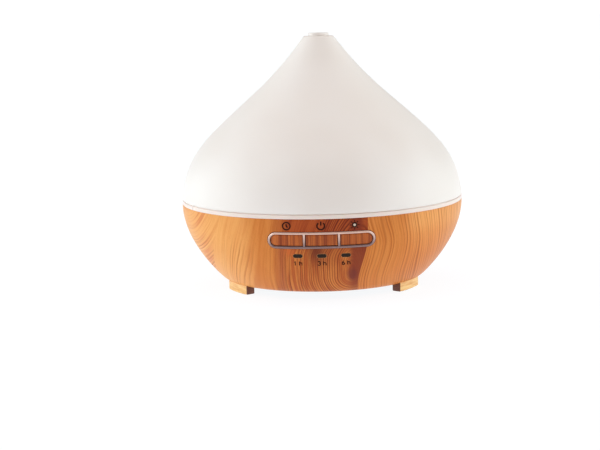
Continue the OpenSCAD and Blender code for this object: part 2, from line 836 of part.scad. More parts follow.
module inner_cover() {
    color(tank_white) rotate_extrude() polygon(concat(
        [[lid_skirt_r, tank_rim_z - 3]],
        curve(lid_curve, lid_n),
        [[chimney_r, 96.5], [chimney_r, chimney_top_z], [chimney_bore_r, chimney_top_z], [chimney_bore_r, 95.5]],
        reversed(curve(lid_curve, lid_n, -lid_wall, 0.08)),
        [
            [collar_r - 2.2, tank_rim_z + 1.6], [collar_r - 2.2, tank_rim_z],
            [collar_r + 0.6, tank_rim_z], [collar_r + 0.6, tank_rim_z - 3]
        ]
    ));
}

module outer_cover() {
    color(frosted) rotate_extrude() polygon(concat(
        [[seam_r - cover_wall, cover_z], [seam_r - 0.3, cover_z]],
        curve(cover_low, cover_n),
        curve(cover_high, cover_n, 0, 1 / cover_n),
        [[5.7, shoulder_z], [5.7, shoulder_z - 2.6]],
        reversed(curve(cover_high, cover_n, -cover_wall, 0, 0.96)),
        reversed(curve(cover_low, cover_n, -cover_wall, 0, 1 - 1 / cover_n))
    ));
}

module mist_spout() {
    color(frosted) rotate_extrude() polygon([
        [4.5, 134.5], [5.6, 134.5], [5.6, shoulder_z], [6.2, shoulder_z], [6.2, total_h - 0.5],
        [5.8, total_h], [4.9, total_h], [4.5, total_h - 0.4]
    ]);
}

base_shell();
bottom_cover();
foot_front_left();
foot_front_right();
foot_rear();
foot_pads();
bottom_screws();
light_ring();
water_tank();
air_tower();
transducer_seal();
transducer_disc();
transducer_clamp();
transducer_screws();
transducer_wires();
fan_housing();
fan_stator();
fan_bearing();
fan_screws();
fan_wires();
air_duct();
main_board();
driver_coil();
heat_sink();
power_transistor();
capacitors();
control_chip();
board_connectors();
board_screws();
led_board();
leds();
led_screws();
led_wires();
button_board();
tact_switches();
indicator_leds();
button_board_screws();
button_cable();
button_bezel();
indicator_lens_left();
indicator_lens_middle();
indicator_lens_right();
power_jack();
power_jack_pin();
jack_wires();
inner_cover();
outer_cover();
mist_spout();
button_timer();
button_power();
button_light();
fan_rotor();
fan_shaft();
rotor_magnet();
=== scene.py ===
"""Looks of an onion-shaped essential oil diffuser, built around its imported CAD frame.

Metres, +Z up, the buttons face -Y. Outlines are written in millimetres and turned to metres by MM.
"""
import json
import math

import bmesh
import bpy
import numpy as np
from mathutils import Matrix, Vector


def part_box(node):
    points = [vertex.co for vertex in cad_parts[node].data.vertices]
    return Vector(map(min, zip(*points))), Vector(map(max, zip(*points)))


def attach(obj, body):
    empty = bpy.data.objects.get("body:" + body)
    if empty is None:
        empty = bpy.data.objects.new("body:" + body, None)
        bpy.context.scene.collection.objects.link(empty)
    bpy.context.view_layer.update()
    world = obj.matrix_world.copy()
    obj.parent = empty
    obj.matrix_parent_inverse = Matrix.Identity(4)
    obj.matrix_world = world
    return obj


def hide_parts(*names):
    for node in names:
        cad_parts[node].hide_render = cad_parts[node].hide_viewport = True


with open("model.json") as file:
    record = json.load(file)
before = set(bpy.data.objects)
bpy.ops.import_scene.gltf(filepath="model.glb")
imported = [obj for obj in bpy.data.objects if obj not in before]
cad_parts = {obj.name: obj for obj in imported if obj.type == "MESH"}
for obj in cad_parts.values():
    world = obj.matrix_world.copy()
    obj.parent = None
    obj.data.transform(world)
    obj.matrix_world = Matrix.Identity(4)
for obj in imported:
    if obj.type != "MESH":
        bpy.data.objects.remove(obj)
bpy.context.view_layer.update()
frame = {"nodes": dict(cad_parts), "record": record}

MM = 0.001
NODES = frame["nodes"]
MATERIALS = {}

# ---------- places that the frame gives, in millimetres ----------


def box_mm(node):
    low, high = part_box(node)
    return low / MM, high / MM


BASE_LOW, BASE_HIGH = box_mm("base_shell")
COVER_LOW, COVER_HIGH = box_mm("outer_cover")
SPOUT_LOW, SPOUT_HIGH = box_mm("mist_spout")
BEZEL_LOW, BEZEL_HIGH = box_mm("button_bezel")
RING_LOW, RING_HIGH = box_mm("light_ring")
LID_LOW, LID_HIGH = box_mm("inner_cover")
WINDOW_LOW, WINDOW_HIGH = box_mm("indicator_lens_middle")
JACK_LOW, JACK_HIGH = box_mm("power_jack")

SEAM_R = BASE_HIGH.x
BOWL_TOP = BASE_HIGH.z
BOWL_BOTTOM = BASE_LOW.z
COVER_BOTTOM = COVER_LOW.z
SHOULDER_Z = COVER_HIGH.z
PANEL_Z = (BEZEL_LOW.z + BEZEL_HIGH.z) / 2
BEZEL_L = BEZEL_HIGH.x - BEZEL_LOW.x
BEZEL_H = BEZEL_HIGH.z - BEZEL_LOW.z
WINDOW_Z = (WINDOW_LOW.z + WINDOW_HIGH.z) / 2
WINDOW_L = WINDOW_HIGH.x - WINDOW_LOW.x
WINDOW_H = WINDOW_HIGH.z - WINDOW_LOW.z
WINDOW_PITCH = box_mm("indicator_lens_right")[0].x - WINDOW_LOW.x
JACK_Z = (JACK_LOW.z + JACK_HIGH.z) / 2

# The walls and rims that the CAD's outlines have
BOWL_WALL = 2.3
COVER_WALL = 2.2
LID_WALL = 1.8
BEZEL_RIM = 1.3
SEPARATOR_X = 9.75
SEPARATOR_W = 1.2
BUTTON_GAP = 0.2
# How far the caps, their frame and the windows reach back into the bowl
CAP_DEPTH = 3.0
FRAME_DEPTH = 2.9
WINDOW_DEPTH = 3.2
# Deeper than this, a piece on the bowl goes straight back
STRAIGHT_BACK = 1.0
PLUG_HOLE_R = 5.6
SPOUT_HOLE_R = 5.7
FOOT_IN, FOOT_OUT = 54.0, 59.6
# Cutters start in front of the bowl or behind it, and end inside it
CUT_OUTSIDE = 92
CUT_INSIDE = 55
# The opening under the bowl, the bottom cover's seat round it, and where the bowl's floor meets its wall
OPENING_R = 47
SEAT_R = 53
FLOOR_EDGE_R = 59.6
# The inner lid's chimney, and the step in its rim
CHIMNEY_OUT, CHIMNEY_IN = 8, 6
LID_STEP_IN, LID_STEP_OUT = 66.8, 69.6
# Half the angle that a foot spans
FOOT_HALF = math.radians(11.4)

BOWL_SIDE = [(61.9, BOWL_BOTTOM + 2.8), (67.7, BOWL_BOTTOM + 8.4), (SEAM_R, 30.8), (SEAM_R, BOWL_TOP)]
BOWL_FILLET = [(56.5, BOWL_BOTTOM), (58.1, BOWL_BOTTOM), (59.9, BOWL_BOTTOM + 0.9), BOWL_SIDE[0]]
NECK = (40.6, 114.2)
COVER_SIDE = [(SEAM_R, COVER_BOTTOM + 0.4), (SEAM_R - 2.8, 79), (SEAM_R - 13, 87.4), NECK]
COVER_NECK = [NECK, (25.2, 127.8), (17.1, SHOULDER_Z - 10.8), (8.9, SHOULDER_Z)]
LID_DOME = [(LID_HIGH.x, LID_LOW.z + 3.8), (66, 76.5), (30, 82.5), (9.5, 92.5)]


# ---------- outlines ----------


def bezier(points, steps, start=0.0, end=1.0):
    """Points along a cubic curve, and the unit normals that point away from the axis."""
    t = np.linspace(start, end, steps + 1)[:, None]
    p = np.array(points, float)
    at = (1 - t) ** 3 * p[0] + 3 * t * (1 - t) ** 2 * p[1] + 3 * t * t * (1 - t) * p[2] + t ** 3 * p[3]
    along = (1 - t) ** 2 * (p[1] - p[0]) + 2 * t * (1 - t) * (p[2] - p[1]) + t * t * (p[3] - p[2])
    along /= np.linalg.norm(along, axis=1)[:, None]
    return at, np.column_stack([along[:, 1], -along[:, 0]])


def soft_corner(start, middle, end):
    """Points along a quadratic curve."""
    return [(1 - t) ** 2 * start + 2 * t * (1 - t) * middle + t * t * end for t in np.linspace(0, 1, 6)]


def rounded(corners):
    """A closed outline of (x, y, radius) corners, each with its own rounding."""
    outline = []
    for i, (x, y, radius) in enumerate(corners):
        here = np.array((x, y), float)
        back = np.array(corners[i - 1][:2], float) - here
        ahead = np.array(corners[(i + 1) % len(corners)][:2], float) - here
        reach = min(radius, 0.48 * np.linalg.norm(back), 0.48 * np.linalg.norm(ahead))
        if reach <= 0:
            outline.append(here)
            continue
        first = here + back / np.linalg.norm(back) * reach
        last = here + ahead / np.linalg.norm(ahead) * reach
        outline += soft_corner(first, here, last)
    return outline


_side, _side_normal = bezier(BOWL_SIDE, 400)


def bowl_radius(z):
    return np.interp(z, _side[:, 1], _side[:, 0])


def on_bowl(x, z, lift=0.0):
    """The point of the bowl's front that is seen at (x, z) from straight ahead, moved out by lift. Metres.

    Deep points go straight back instead, because the caps slide that way past their frame.
    """
    radius = bowl_radius(z)
    out = np.interp(z, _side[:, 1], _side_normal[:, 0])
    up = np.interp(z, _side[:, 1], _side_normal[:, 1])
    y = -math.sqrt(max(radius * radius - x * x, 0.0))
    if lift < -STRAIGHT_BACK:
        return Vector((x, y - lift, z)) * MM
    return Vector((x + lift * out * x / radius, y + lift * out * y / radius, z + lift * up)) * MM


# ---------- mesh helpers ----------


def make_object(name, verts, faces, sharp=35):
    mesh = bpy.data.meshes.new(name)
    mesh.from_pydata([tuple(v) for v in verts], [], faces)
    bm = bmesh.new()
    bm.from_mesh(mesh)
    bmesh.ops.remove_doubles(bm, verts=bm.verts, dist=1e-7)
    bmesh.ops.recalc_face_normals(bm, faces=bm.faces)
    bm.to_mesh(mesh)
    bm.free()
    return add_object(name, mesh, sharp)


def add_object(name, mesh, sharp):
    obj = bpy.data.objects.new(name, mesh)
    bpy.context.scene.collection.objects.link(obj)
    smooth(obj, sharp)
    return obj


def smooth(obj, sharp):
    obj.data.polygons.foreach_set("use_smooth", [True] * len(obj.data.polygons))
    obj.data.set_sharp_from_angle(angle=math.radians(sharp))
    obj.data.update()


def grid_faces(rows, columns, closed_rows, closed_columns):
    """Quads between the points of a grid that is stored row by row."""
    faces = []
    for i in range(rows if closed_rows else rows - 1):
        for k in range(columns if closed_columns else columns - 1):
            a = i * columns + k
            b = i * columns + (k + 1) % columns
            c = (i + 1) % rows * columns + (k + 1) % columns
            d = (i + 1) % rows * columns + k
            faces.append((a, b, c, d))
    return faces


def end_faces(rows, columns):
    """The two faces that close such a grid's first and last row."""
    return [tuple(range(columns)), tuple(reversed(range((rows - 1) * columns, rows * columns)))]


def lathe(name, outline, segments=224, sharp=35):
    """A closed outline of (radius, height) in millimetres, turned about Z."""
    verts = []
    for k in range(segments):
        a = 2 * math.pi * k / segments
        verts += [(r * math.cos(a) * MM, r * math.sin(a) * MM, z * MM) for r, z in outline]
    return make_object(name, verts, grid_faces(segments, len(outline), True, True), sharp)


def apply_modifiers(obj):
    bpy.context.view_layer.update()
    done = bpy.data.meshes.new_from_object(obj.evaluated_get(bpy.context.evaluated_depsgraph_get()))
    obj.modifiers.clear()
    obj.data = done


def cut_away(obj, cutters, sharp=30):
    """Cuts the cutters out of obj, and removes them."""
    for cutter in cutters:
        modifier = obj.modifiers.new("cut", "BOOLEAN")
        modifier.operation = "DIFFERENCE"
        modifier.solver = "EXACT"
        modifier.object = cutter
    apply_modifiers(obj)
    for cutter in cutters:
        bpy.data.objects.remove(cutter)
    smooth(obj, sharp)


def bevel(obj, width):
    modifier = obj.modifiers.new("bevel", "BEVEL")
    modifier.width = width * MM
    modifier.segments = 3
    modifier.limit_method = "ANGLE"
    modifier.angle_limit = math.radians(40)
    apply_modifiers(obj)
    smooth(obj, 50)


def bar(name, outline, y_from, y_to):
    """An outline of (x, z) in millimetres pushed along Y."""
    n = len(outline)
    verts = [(x * MM, y * MM, z * MM) for y in (y_from, y_to) for x, z in outline]
    return make_object(name, verts, grid_faces(2, n, False, True) + end_faces(2, n))


def join(name, pieces, sharp=35):
    """One object that holds the meshes of several."""
    bm = bmesh.new()
    for piece in pieces:
        bm.from_mesh(piece.data)
    mesh = bpy.data.meshes.new(name)
    bm.to_mesh(mesh)
    bm.free()
    for piece in pieces:
        bpy.data.objects.remove(piece)
    return add_object(name, mesh, sharp)


def stadium(length, height, x=0.0, z=0.0):
    """Outline of a bar with round ends, as its centre line's points and the unit vectors out of it."""
    steps, stretch_steps = 20, 25
    half = (length - height) / 2
    core, out = [], []
    for side in (1, -1):
        here, there = x + side * half, x - side * half
        for k in range(steps + 1):
            a = math.pi * k / steps - math.pi / 2
            core.append((here, z))
            out.append((side * math.cos(a), side * math.sin(a)))
        # The straight stretch gets points of its own, so that it follows the bowl's curve
        for t in np.linspace(0, 1, stretch_steps + 1)[1:-1]:
            core.append((here + (there - here) * t, z))
            out.append(out[-1])
    return core, out


def ring_on_bowl(name, length, height, section, x=0.0, z=0.0, sharp=35):
    """A frame along a stadium's outline on the bowl. section is a closed list of (inset, lift)."""
    core, out = stadium(length, height, x, z)
    verts = []
    for c, o in zip(core, out):
        for inset, lift in section:
            reach = height / 2 - inset
            verts.append(on_bowl(c[0] + reach * o[0], c[1] + reach * o[1], lift))
    return make_object(name, verts, grid_faces(len(core), len(section), True, True), sharp)


def pad_on_bowl(name, x_edges, half_height, z, top, bottom, edge, rows=20, columns=56, sharp=60):
    """A closed pad that lies on the bowl, with a rounded edge. half_height(x) is half its height at x."""
    x_from, x_to = x_edges
    xs = x_from + (x_to - x_from) * (1 - np.cos(np.linspace(0, math.pi, columns))) / 2
    ts = np.sin(np.linspace(-math.pi / 2, math.pi / 2, rows))
    verts = []
    for layer in (0, 1):
        for x in xs:
            h = half_height(x)
            for t in ts:
                inside = min(x - x_from, x_to - x, h * (1 - abs(t)))
                drop = edge - math.sqrt(max(edge ** 2 - (edge - min(inside, edge)) ** 2, 0))
                lift = bottom if layer else top - drop
                verts.append(on_bowl(x, z + t * h, lift))
    n = columns * rows
    faces = grid_faces(columns, rows, False, False)
    faces += [tuple(i + n for i in reversed(f)) for f in grid_faces(columns, rows, False, False)]
    border = list(range(rows))
    border += [i * rows + rows - 1 for i in range(1, columns)]
    border += [(columns - 1) * rows + k for k in range(rows - 2, -1, -1)]
    border += [i * rows for i in range(columns - 2, 0, -1)]
    for a, b in zip(border, border[1:] + border[:1]):
        faces.append((a, b, b + n, a + n))
    return make_object(name, verts, faces, sharp)


def strokes_on_bowl(name, lines, width, lift):
    """Thin raised print along lines of (x, z) points, in millimetres."""
    pieces = []
    for line in lines:
        line = [np.array(p, float) for p in line]
        closed = np.allclose(line[0], line[-1]) and len(line) > 2
        left, right = [], []
        for i, p in enumerate(line):
            back = line[i - 1] if i else (line[-2] if closed else p)
            ahead = line[i + 1] if i + 1 < len(line) else (line[1] if closed else p)
            along = ahead - back
            along /= np.linalg.norm(along)
            across = np.array((-along[1], along[0])) * width / 2
            left.append(p + across)
            right.append(p - across)
        verts = []
        for a, b in zip(left, right):
            verts += [on_bowl(*a, lift), on_bowl(*b, lift), on_bowl(*b, -0.1), on_bowl(*a, -0.1)]
        n = len(line)
        faces = grid_faces(n, 4, False, True)
        if not closed:
            faces += end_faces(n, 4)
        pieces.append(make_object(name + "_stroke", verts, faces, 40))
    return join(name, pieces, 40)


def arc(x, z, radius, start, end, steps=28):
    """Points on a circle; angles in degrees from +X, anticlockwise."""
    angles = np.radians(np.linspace(start, end, steps))
    return [(x + radius * math.cos(a), z + radius * math.sin(a)) for a in angles]


# ---------- shader graphs ----------


def srgb(red, green, blue):
    """A colour given as 0 to 255 per channel, as the linear values that a shader takes."""
    values = [c / 255 for c in (red, green, blue)]
    linear = [c / 12.92 if c <= 0.04045 else ((c + 0.055) / 1.055) ** 2.4 for c in values]
    return (*linear, 1.0)


def feed(tree, slot, value):
    """Sets a node's input to a number, or links it to a Value."""
    if isinstance(value, Value):
        tree.links.new(value.socket, slot)
    else:
        slot.default_value = value


def darker(colour, factor):
    return (*(c * factor for c in colour[:3]), 1.0)


class Value:
    """A number in a shader graph. Plain arithmetic on it adds math nodes."""

    def __init__(self, tree, socket):
        self.tree = tree
        self.socket = socket

    def op(self, kind, *others):
        node = self.tree.nodes.new("ShaderNodeMath")
        node.operation = kind
        for slot, value in zip(node.inputs, (self, *others)):
            feed(self.tree, slot, value)
        return Value(self.tree, node.outputs[0])

    def __add__(self, other):
        return self.op("ADD", other)

    def __radd__(self, other):
        return self.op("ADD", other)

    def __sub__(self, other):
        return self.op("SUBTRACT", other)

    def opposite(self):
        """1 minus this."""
        return self * -1.0 + 1.0

    def __mul__(self, other):
        return self.op("MULTIPLY", other)

    def __truediv__(self, other):
        return self.op("DIVIDE", other)

    def step(self, low, high, out_low=0.0, out_high=1.0):
        """A smooth step from out_low, where this is low, to out_high, where it is high."""
        node = self.tree.nodes.new("ShaderNodeMapRange")
        node.interpolation_type = "SMOOTHSTEP"
        self.tree.links.new(self.socket, node.inputs["Value"])
        ends = {"From Min": low, "From Max": high, "To Min": out_low, "To Max": out_high}
        for name, value in ends.items():
            feed(self.tree, node.inputs[name], value)
        return Value(self.tree, node.outputs["Result"])

    def bump_at(self, centre, width):
        """1 at centre, falling off like a bell to 0 a few widths away."""
        off = (self - centre) / width
        return (off * off * -1.0).op("EXPONENT")


class Graph:
    """The node tree of one material, with short names for the nodes that it uses."""

    def __init__(self, name):
        self.material = bpy.data.materials.new(name)
        self.material.use_nodes = True
        self.tree = self.material.node_tree
        self.shader = self.tree.nodes["Principled BSDF"]

    def set(self, **inputs):
        for name, value in inputs.items():
            self.shader.inputs[name.replace("_", " ")].default_value = value
        return self

    def position(self):
        """x, y and z in the row frame, in millimetres."""
        coordinates = self.tree.nodes.new("ShaderNodeTexCoord")
        parts = self.tree.nodes.new("ShaderNodeSeparateXYZ")
        self.tree.links.new(coordinates.outputs["Object"], parts.inputs[0])
        return [Value(self.tree, parts.outputs[k]) * (1 / MM) for k in range(3)]

    def vector(self, x, y, z):
        node = self.tree.nodes.new("ShaderNodeCombineXYZ")
        for slot, value in zip(node.inputs, (x, y, z)):
            feed(self.tree, slot, value)
        return node.outputs[0]

    def noise(self, vector, size, detail=2.0, roughness=0.5):
        """Noise from 0 to 1 with features of about size millimetres."""
        node = self.tree.nodes.new("ShaderNodeTexNoise")
        node.inputs["Scale"].default_value = 1 / size
        node.inputs["Detail"].default_value = detail
        node.inputs["Roughness"].default_value = roughness
        self.tree.links.new(vector, node.inputs["Vector"])
        return Value(self.tree, node.outputs["Fac"])

    def mix(self, factor, first, second):
        """Mixes two colours; each is a tuple or a colour socket."""
        node = self.tree.nodes.new("ShaderNodeMix")
        node.data_type = "RGBA"
        node.clamp_factor = True
        self.tree.links.new(factor.socket, node.inputs["Factor"])
        slots = [s for s in node.inputs if s.type == "RGBA"]
        for slot, value in zip(slots, (first, second)):
            if isinstance(value, tuple):
                slot.default_value = value
            else:
                self.tree.links.new(value, slot)
        return [s for s in node.outputs if s.type == "RGBA"][0]

    def colour(self, socket):
        self.tree.links.new(socket, self.shader.inputs["Base Color"])

    def roughness(self, value):
        self.tree.links.new(value.socket, self.shader.inputs["Roughness"])

    def bump(self, height, distance, strength=1.0):
        """height is 0 to 1, and distance is what 1 stands for, in millimetres."""
        node = self.tree.nodes.new("ShaderNodeBump")
        node.inputs["Strength"].default_value = strength
        node.inputs["Distance"].default_value = distance * MM
        self.tree.links.new(height.socket, node.inputs["Height"])
        self.tree.links.new(node.outputs["Normal"], self.shader.inputs["Normal"])


# ---------- materials ----------

CIRCUMFERENCE = 2 * math.pi * SEAM_R
RING_COUNT = 240
# The grain's heights are written for a seam at this height
GRAIN_SEAM = 50.2
# The knot under the right-hand window: how far round from the front, and its height
KNOT_S, KNOT_V = 16.2, 14.5
# The knots at the back: how far round and how high, their radius, and their height over their width
BACK_KNOTS = [(168.0, 33.0, 7.0, 1.5), (-176.0, 17.0, 8.0, 1.4)]
# The middle of the ovals on the left side, this far round to the left of the front
OVAL_S, OVAL_V = 105.0, 72.0
# The print's front is turned this far from the bowl's, in radians
GRAIN_TURN = 0.0105


def swirl(s, v, centre_s, centre_v, radius, stretch):
    """How far the grain gives way round a knot, and the squared distance from it in knot radii."""
    across = s - centre_s
    up = (v - centre_v) / stretch
    distance = (across * across + up * up) / radius ** 2
    return across / (distance + 0.12) * -1.0, distance


def board_edge(s, v):
    """1 on the darker front board and on the left, 0 to the right of the board's clean edge."""
    return (s - v.step(9.0, 40.0, 19.6, 25.6)).step(0.2, -0.2)


def oval_board(s, v):
    """1 on the board at the left side, which narrows downwards between two slanting joints."""
    return (((v - 50.0) * 0.45 + 41.0) - (s + OVAL_S).op("ABSOLUTE")).step(-0.2, 0.2)


def grain_lines(s, v, on_board):
    """A value that is constant along each growth ring. It equals s where the grain is upright."""
    # On the front board the rings close under the knot and lean to the right above it
    lean = (v - 27.0) * v.step(25.0, 34.0) * 0.3 * s.step(-50.0, 5.0)
    across = s - lean - KNOT_S
    below = (v - KNOT_V).op("MINIMUM", 0.0) * 1.1
    above = (v - KNOT_V - 3.0).op("MAXIMUM", 0.0) * 0.36
    round_knot = (across * across + below * below + above * above).op("SQRT") * -1.0 + KNOT_S
    # Further left they lean the other way, and behind a slanting joint they are parts of ovals
    fall = (v - 50.0) * -0.3 * s.step(-30.0, -58.0) * s.step(-160.0, -130.0)
    reach, up = s + OVAL_S, v - OVAL_V
    oval = (reach * reach + up * up).op("SQRT") - OVAL_S
    behind_joint = oval_board(s, v)
    left = round_knot + fall
    left = left + (oval - left) * behind_joint
    # To the right of the board they bulge away from it
    bulge = (v.step(9.0, 36.0, 0.0, 5.2) - v.step(34.0, 53.0, 0.0, 3.6)) * s.step(75.0, 35.0, 0.35, 1.0)
    slant = (v - 36.0) * s.step(48.0, 66.0) * -0.12
    beside = s - (bulge + slant) * s.step(180.0, 120.0)
    return beside + (left - beside) * on_board


class Print:
    """The places, noises and masks that the wood print's colours and lines share."""

    def __init__(self, g):
        x, y, z = g.position()
        self.v = z - (BOWL_TOP - GRAIN_SEAM)
        angle = x.op("ARCTAN2", y * -1.0) - GRAIN_TURN
        radius = (x * x + y * y).op("SQRT")
        # The distance round the bowl, at its local width in front and at its full width behind
        in_front = angle.op("ABSOLUTE").step(2.6, 1.7)
        self.s = angle * ((radius - SEAM_R) * in_front + SEAM_R)
        self.on_board = board_edge(self.s, self.v)
        self.behind_joint = oval_board(self.s, self.v)
        self.high = self.v.step(28.0, 41.0)
        self.board_tone = self.s.step(-34.0, -17.0) * self.on_board
        self.right_side = self.s.step(46.0, 62.0)
        self.sides = self.s.step(-38.0, -52.0).op("MAXIMUM", self.right_side * self.v.step(20.0, 46.0))
        above_cap = self.v.step(41.0, 45.0) * self.s.step(21.0, 24.0)
        self.right_of_knot = self.s.step(12.5, 17.5) * self.on_board * above_cap.opposite()
        self.broad = g.noise(g.vector(x, y, z * 0.3), 46, 1.5)
        self.knots = []
        self.grain = self.wavy_grain(g.noise(g.vector(x, y, z * 0.35), 15, 2.0))
        # Everything that follows the grain is looked up on a circle, so that it has no seam at the back
        turn = self.grain / SEAM_R
        on_circle = [turn.op("SINE") * SEAM_R, turn.op("COSINE") * SEAM_R]
        along = g.vector(*on_circle, z * 0.05)
        self.uneven = g.noise(along, 5.5, 1.0)
        self.streaks = g.noise(along, 1.7, 3.0, 0.65)
        self.fading = g.noise(g.vector(*on_circle, z * 0.16), 8.0, 1.0)
        self.fibres = g.noise(g.vector(x, y, z * 0.035), 0.5, 2.0, 0.6)

    def wavy_grain(self, medium):
        """The grain with its waves and with the two knots at the back."""
        behind = self.s.op("ABSOLUTE").step(90.0, 140.0, 1.0, 3.0)
        grain = grain_lines(self.s, self.v, self.on_board)
        for centre_s, centre_v, radius, stretch in BACK_KNOTS:
            part, near = swirl(self.s, self.v, centre_s, centre_v, radius, stretch)
            grain = grain + part
            self.knots.append(near)
        return grain + ((self.broad - 0.5) * 3.0 + (medium - 0.5) * 1.4) * behind


def growth_rings(g, p):
    """1 on the growth rings. They are closer near the knot, and each has its own strength."""
    closer = (p.grain + 14.0).op("MAXIMUM", 0.0) * p.on_board * 0.75
    turns = (p.grain + closer) * (RING_COUNT / CIRCUMFERENCE) + (p.uneven - 0.5) * 2.6
    phase = turns.op("FRACT")
    ring = phase.step(0.42, 0.82) * phase.step(1.0, 0.9)
    # Over the buttons the rings are strong to the right of the power symbol, and gone to the left of it
    slanted = p.high * p.s.step(-1.5, 2.5) * p.s.step(19.0, 15.0)
    each = g.noise(g.vector(turns.op("FLOOR"), 0.0, 0.0), 0.73, 0.0).step(0.3, 0.65, 0.3, 1.0)
    shown = ring * each.op("MAXIMUM", slanted) * p.fading.step(0.32, 0.56, 0.4, 1.0).op("MAXIMUM", slanted)
    calm = p.s.bump_at(-36.0, 11.0) * 0.8 + p.grain.bump_at(-63.0, 4.5) * p.behind_joint.opposite() * 0.9
    calm = calm + p.high * p.s.step(1.0, -2.0) * 0.9
    return shown * calm.op("MINIMUM", 1.0).opposite()


def pale_wood(g, p):
    """The pale boards: lighter on the left and high on the right, deeper low on the right."""
    tone = g.mix(p.streaks.step(0.36, 0.66), srgb(220, 138, 66), srgb(208, 122, 54))
    light = g.mix(p.streaks.step(0.34, 0.7), srgb(244, 178, 104), srgb(236, 162, 90))
    tone = g.mix(p.sides * 0.9, tone, light)
    tone = g.mix(p.right_side * p.v.step(36.0, 46.0) * 0.5, tone, srgb(255, 196, 122))
    tone = g.mix(p.right_side * p.v.step(30.0, 12.0) * 0.7, tone, srgb(206, 124, 54))
    tone = g.mix(p.broad.step(0.42, 0.64) * 0.35, tone, srgb(226, 134, 66))
    ruddy = p.behind_joint * p.streaks.step(0.45, 0.6) * p.s.bump_at(-84.0, 8.0) * 0.6
    return g.mix(ruddy, tone, srgb(216, 116, 66))


def front_board(g, p):
    """The darker board, browner above the buttons."""
    low_board = g.mix(p.streaks.step(0.4, 0.62), srgb(212, 126, 58), srgb(184, 92, 38))
    high_board = g.mix(p.streaks.step(0.38, 0.66), srgb(180, 84, 36), srgb(156, 64, 26))
    return g.mix(p.high, low_board, high_board)


def stains_and_patches(g, p, wood):
    """Reddish stain on the board by the knot; reddish and dark patches under and between the windows."""
    s, v = p.s, p.v
    wood = g.mix(p.right_of_knot * v.step(4.0, 14.0, 0.45, 0.9), wood, srgb(134, 52, 28))
    wood = g.mix(s.bump_at(-24.0, 2.4) * v.step(42.0, 30.0) * 0.6, wood, srgb(172, 88, 52))
    # A dark patch round the middle window
    wood = g.mix(s.bump_at(-3.5, 4.5) * v.bump_at(31.0, 7.0) * 0.85, wood, srgb(96, 42, 26))
    wood = g.mix(s.bump_at(4.0, 9.0) * v.bump_at(30.0, 9.0) * 0.4, wood, srgb(150, 62, 26))
    return g.mix(s.bump_at(-19.0, 3.0) * v.bump_at(31.5, 3.0) * 0.7, wood, srgb(212, 104, 48))


def wood_print():
    """Printed softwood: upright growth rings that part round knots, and a darker board in front."""
    g = Graph("wood_print")
    p = Print(g)
    shown = growth_rings(g, p)
    wood = stains_and_patches(g, p, g.mix(p.board_tone, pale_wood(g, p), front_board(g, p)))
    line = g.mix(p.sides, srgb(170, 88, 36), srgb(190, 110, 50))
    line = g.mix(p.board_tone, line, g.mix(p.high, srgb(112, 40, 16), srgb(96, 32, 14)))
    wood = g.mix(shown * (p.right_of_knot * -0.6 + 1.0) * 0.92, wood, line)
    wood = g.mix(p.fibres.step(0.52, 0.76) * 0.22, wood, line)
    core = p.s.bump_at(KNOT_S, 3.3) * p.v.bump_at(KNOT_V + 1.8, 4.6)
    wood = g.mix(core.step(0.1, 0.9) * 0.7, wood, srgb(112, 44, 36))
    for near in p.knots:
        wood = g.mix(near.step(1.0, 0.25) * 0.85, wood, srgb(116, 54, 34))
    g.colour(wood)
    g.roughness(shown * 0.06 + 0.36)
    g.bump(shown * -0.6 + p.fibres * 0.4, 0.035, 0.6)
    return g.set(Specular_IOR_Level=0.14).material


def button_wood():
    """Finer, redder grain on the caps, with upright lines."""
    g = Graph("button_wood")
    x, y, z = g.position()
    lines = g.noise(g.vector(x, 0.0, z * 0.01), 0.85, 2.0, 0.7)
    tone = g.noise(g.vector(x, 0.0, z * 0.2), 8.0, 1.0)
    wood = g.mix(tone.step(0.35, 0.65), srgb(202, 112, 50), srgb(172, 82, 34))
    wood = g.mix(lines.step(0.46, 0.62) * 0.7, wood, srgb(124, 50, 24))
    wood = g.mix(lines.step(0.42, 0.34) * 0.4, wood, srgb(214, 128, 72))
    fine = g.noise(g.vector(x, 0.0, 3.7), 0.3, 1.0)
    wood = g.mix(fine.step(0.5, 0.66) * 0.6, wood, srgb(112, 42, 18))
    g.colour(wood)
    g.bump(lines, 0.03, 0.5)
    return g.set(Roughness=0.4, Specular_IOR_Level=0.2).material


def foot_wood():
    """Paler grain that runs along the feet; their ends are brown, painted darker as shade."""
    g = Graph("foot_wood")
    x, y, z = g.position()
    radius = (x * x + y * y).op("SQRT")
    angle = x.op("ARCTAN2", y)
    lines = g.noise(g.vector(radius, z * 1.0, angle * 6.0), 1.5, 3.0, 0.6)
    wood = g.mix(lines.step(0.35, 0.65), srgb(252, 210, 140), srgb(234, 174, 100))
    wood = g.mix(lines.step(0.6, 0.72) * 0.4, wood, srgb(196, 126, 66))
    # The feet are a third of a turn apart. The angle from the nearest foot's middle tells where its ends are
    third = 2 * math.pi / 3
    from_middle = ((angle / third + 0.5).op("FRACT") - 0.5).op("ABSOLUTE") * third
    end = from_middle.step(FOOT_HALF - 0.011, FOOT_HALF - 0.002)
    end_shade_mottle = g.noise(g.vector(radius, z * 1.0, angle), 0.5, 2.0, 0.6)
    # Painted shade: the feet's ends are brown, darkened further, with an uneven mottle
    wood = g.mix(end, wood, g.mix(end_shade_mottle, srgb(128, 66, 34), srgb(74, 34, 20)))
    g.colour(wood)
    g.bump(lines, 0.03, 0.5)
    return g.set(Roughness=0.42).material


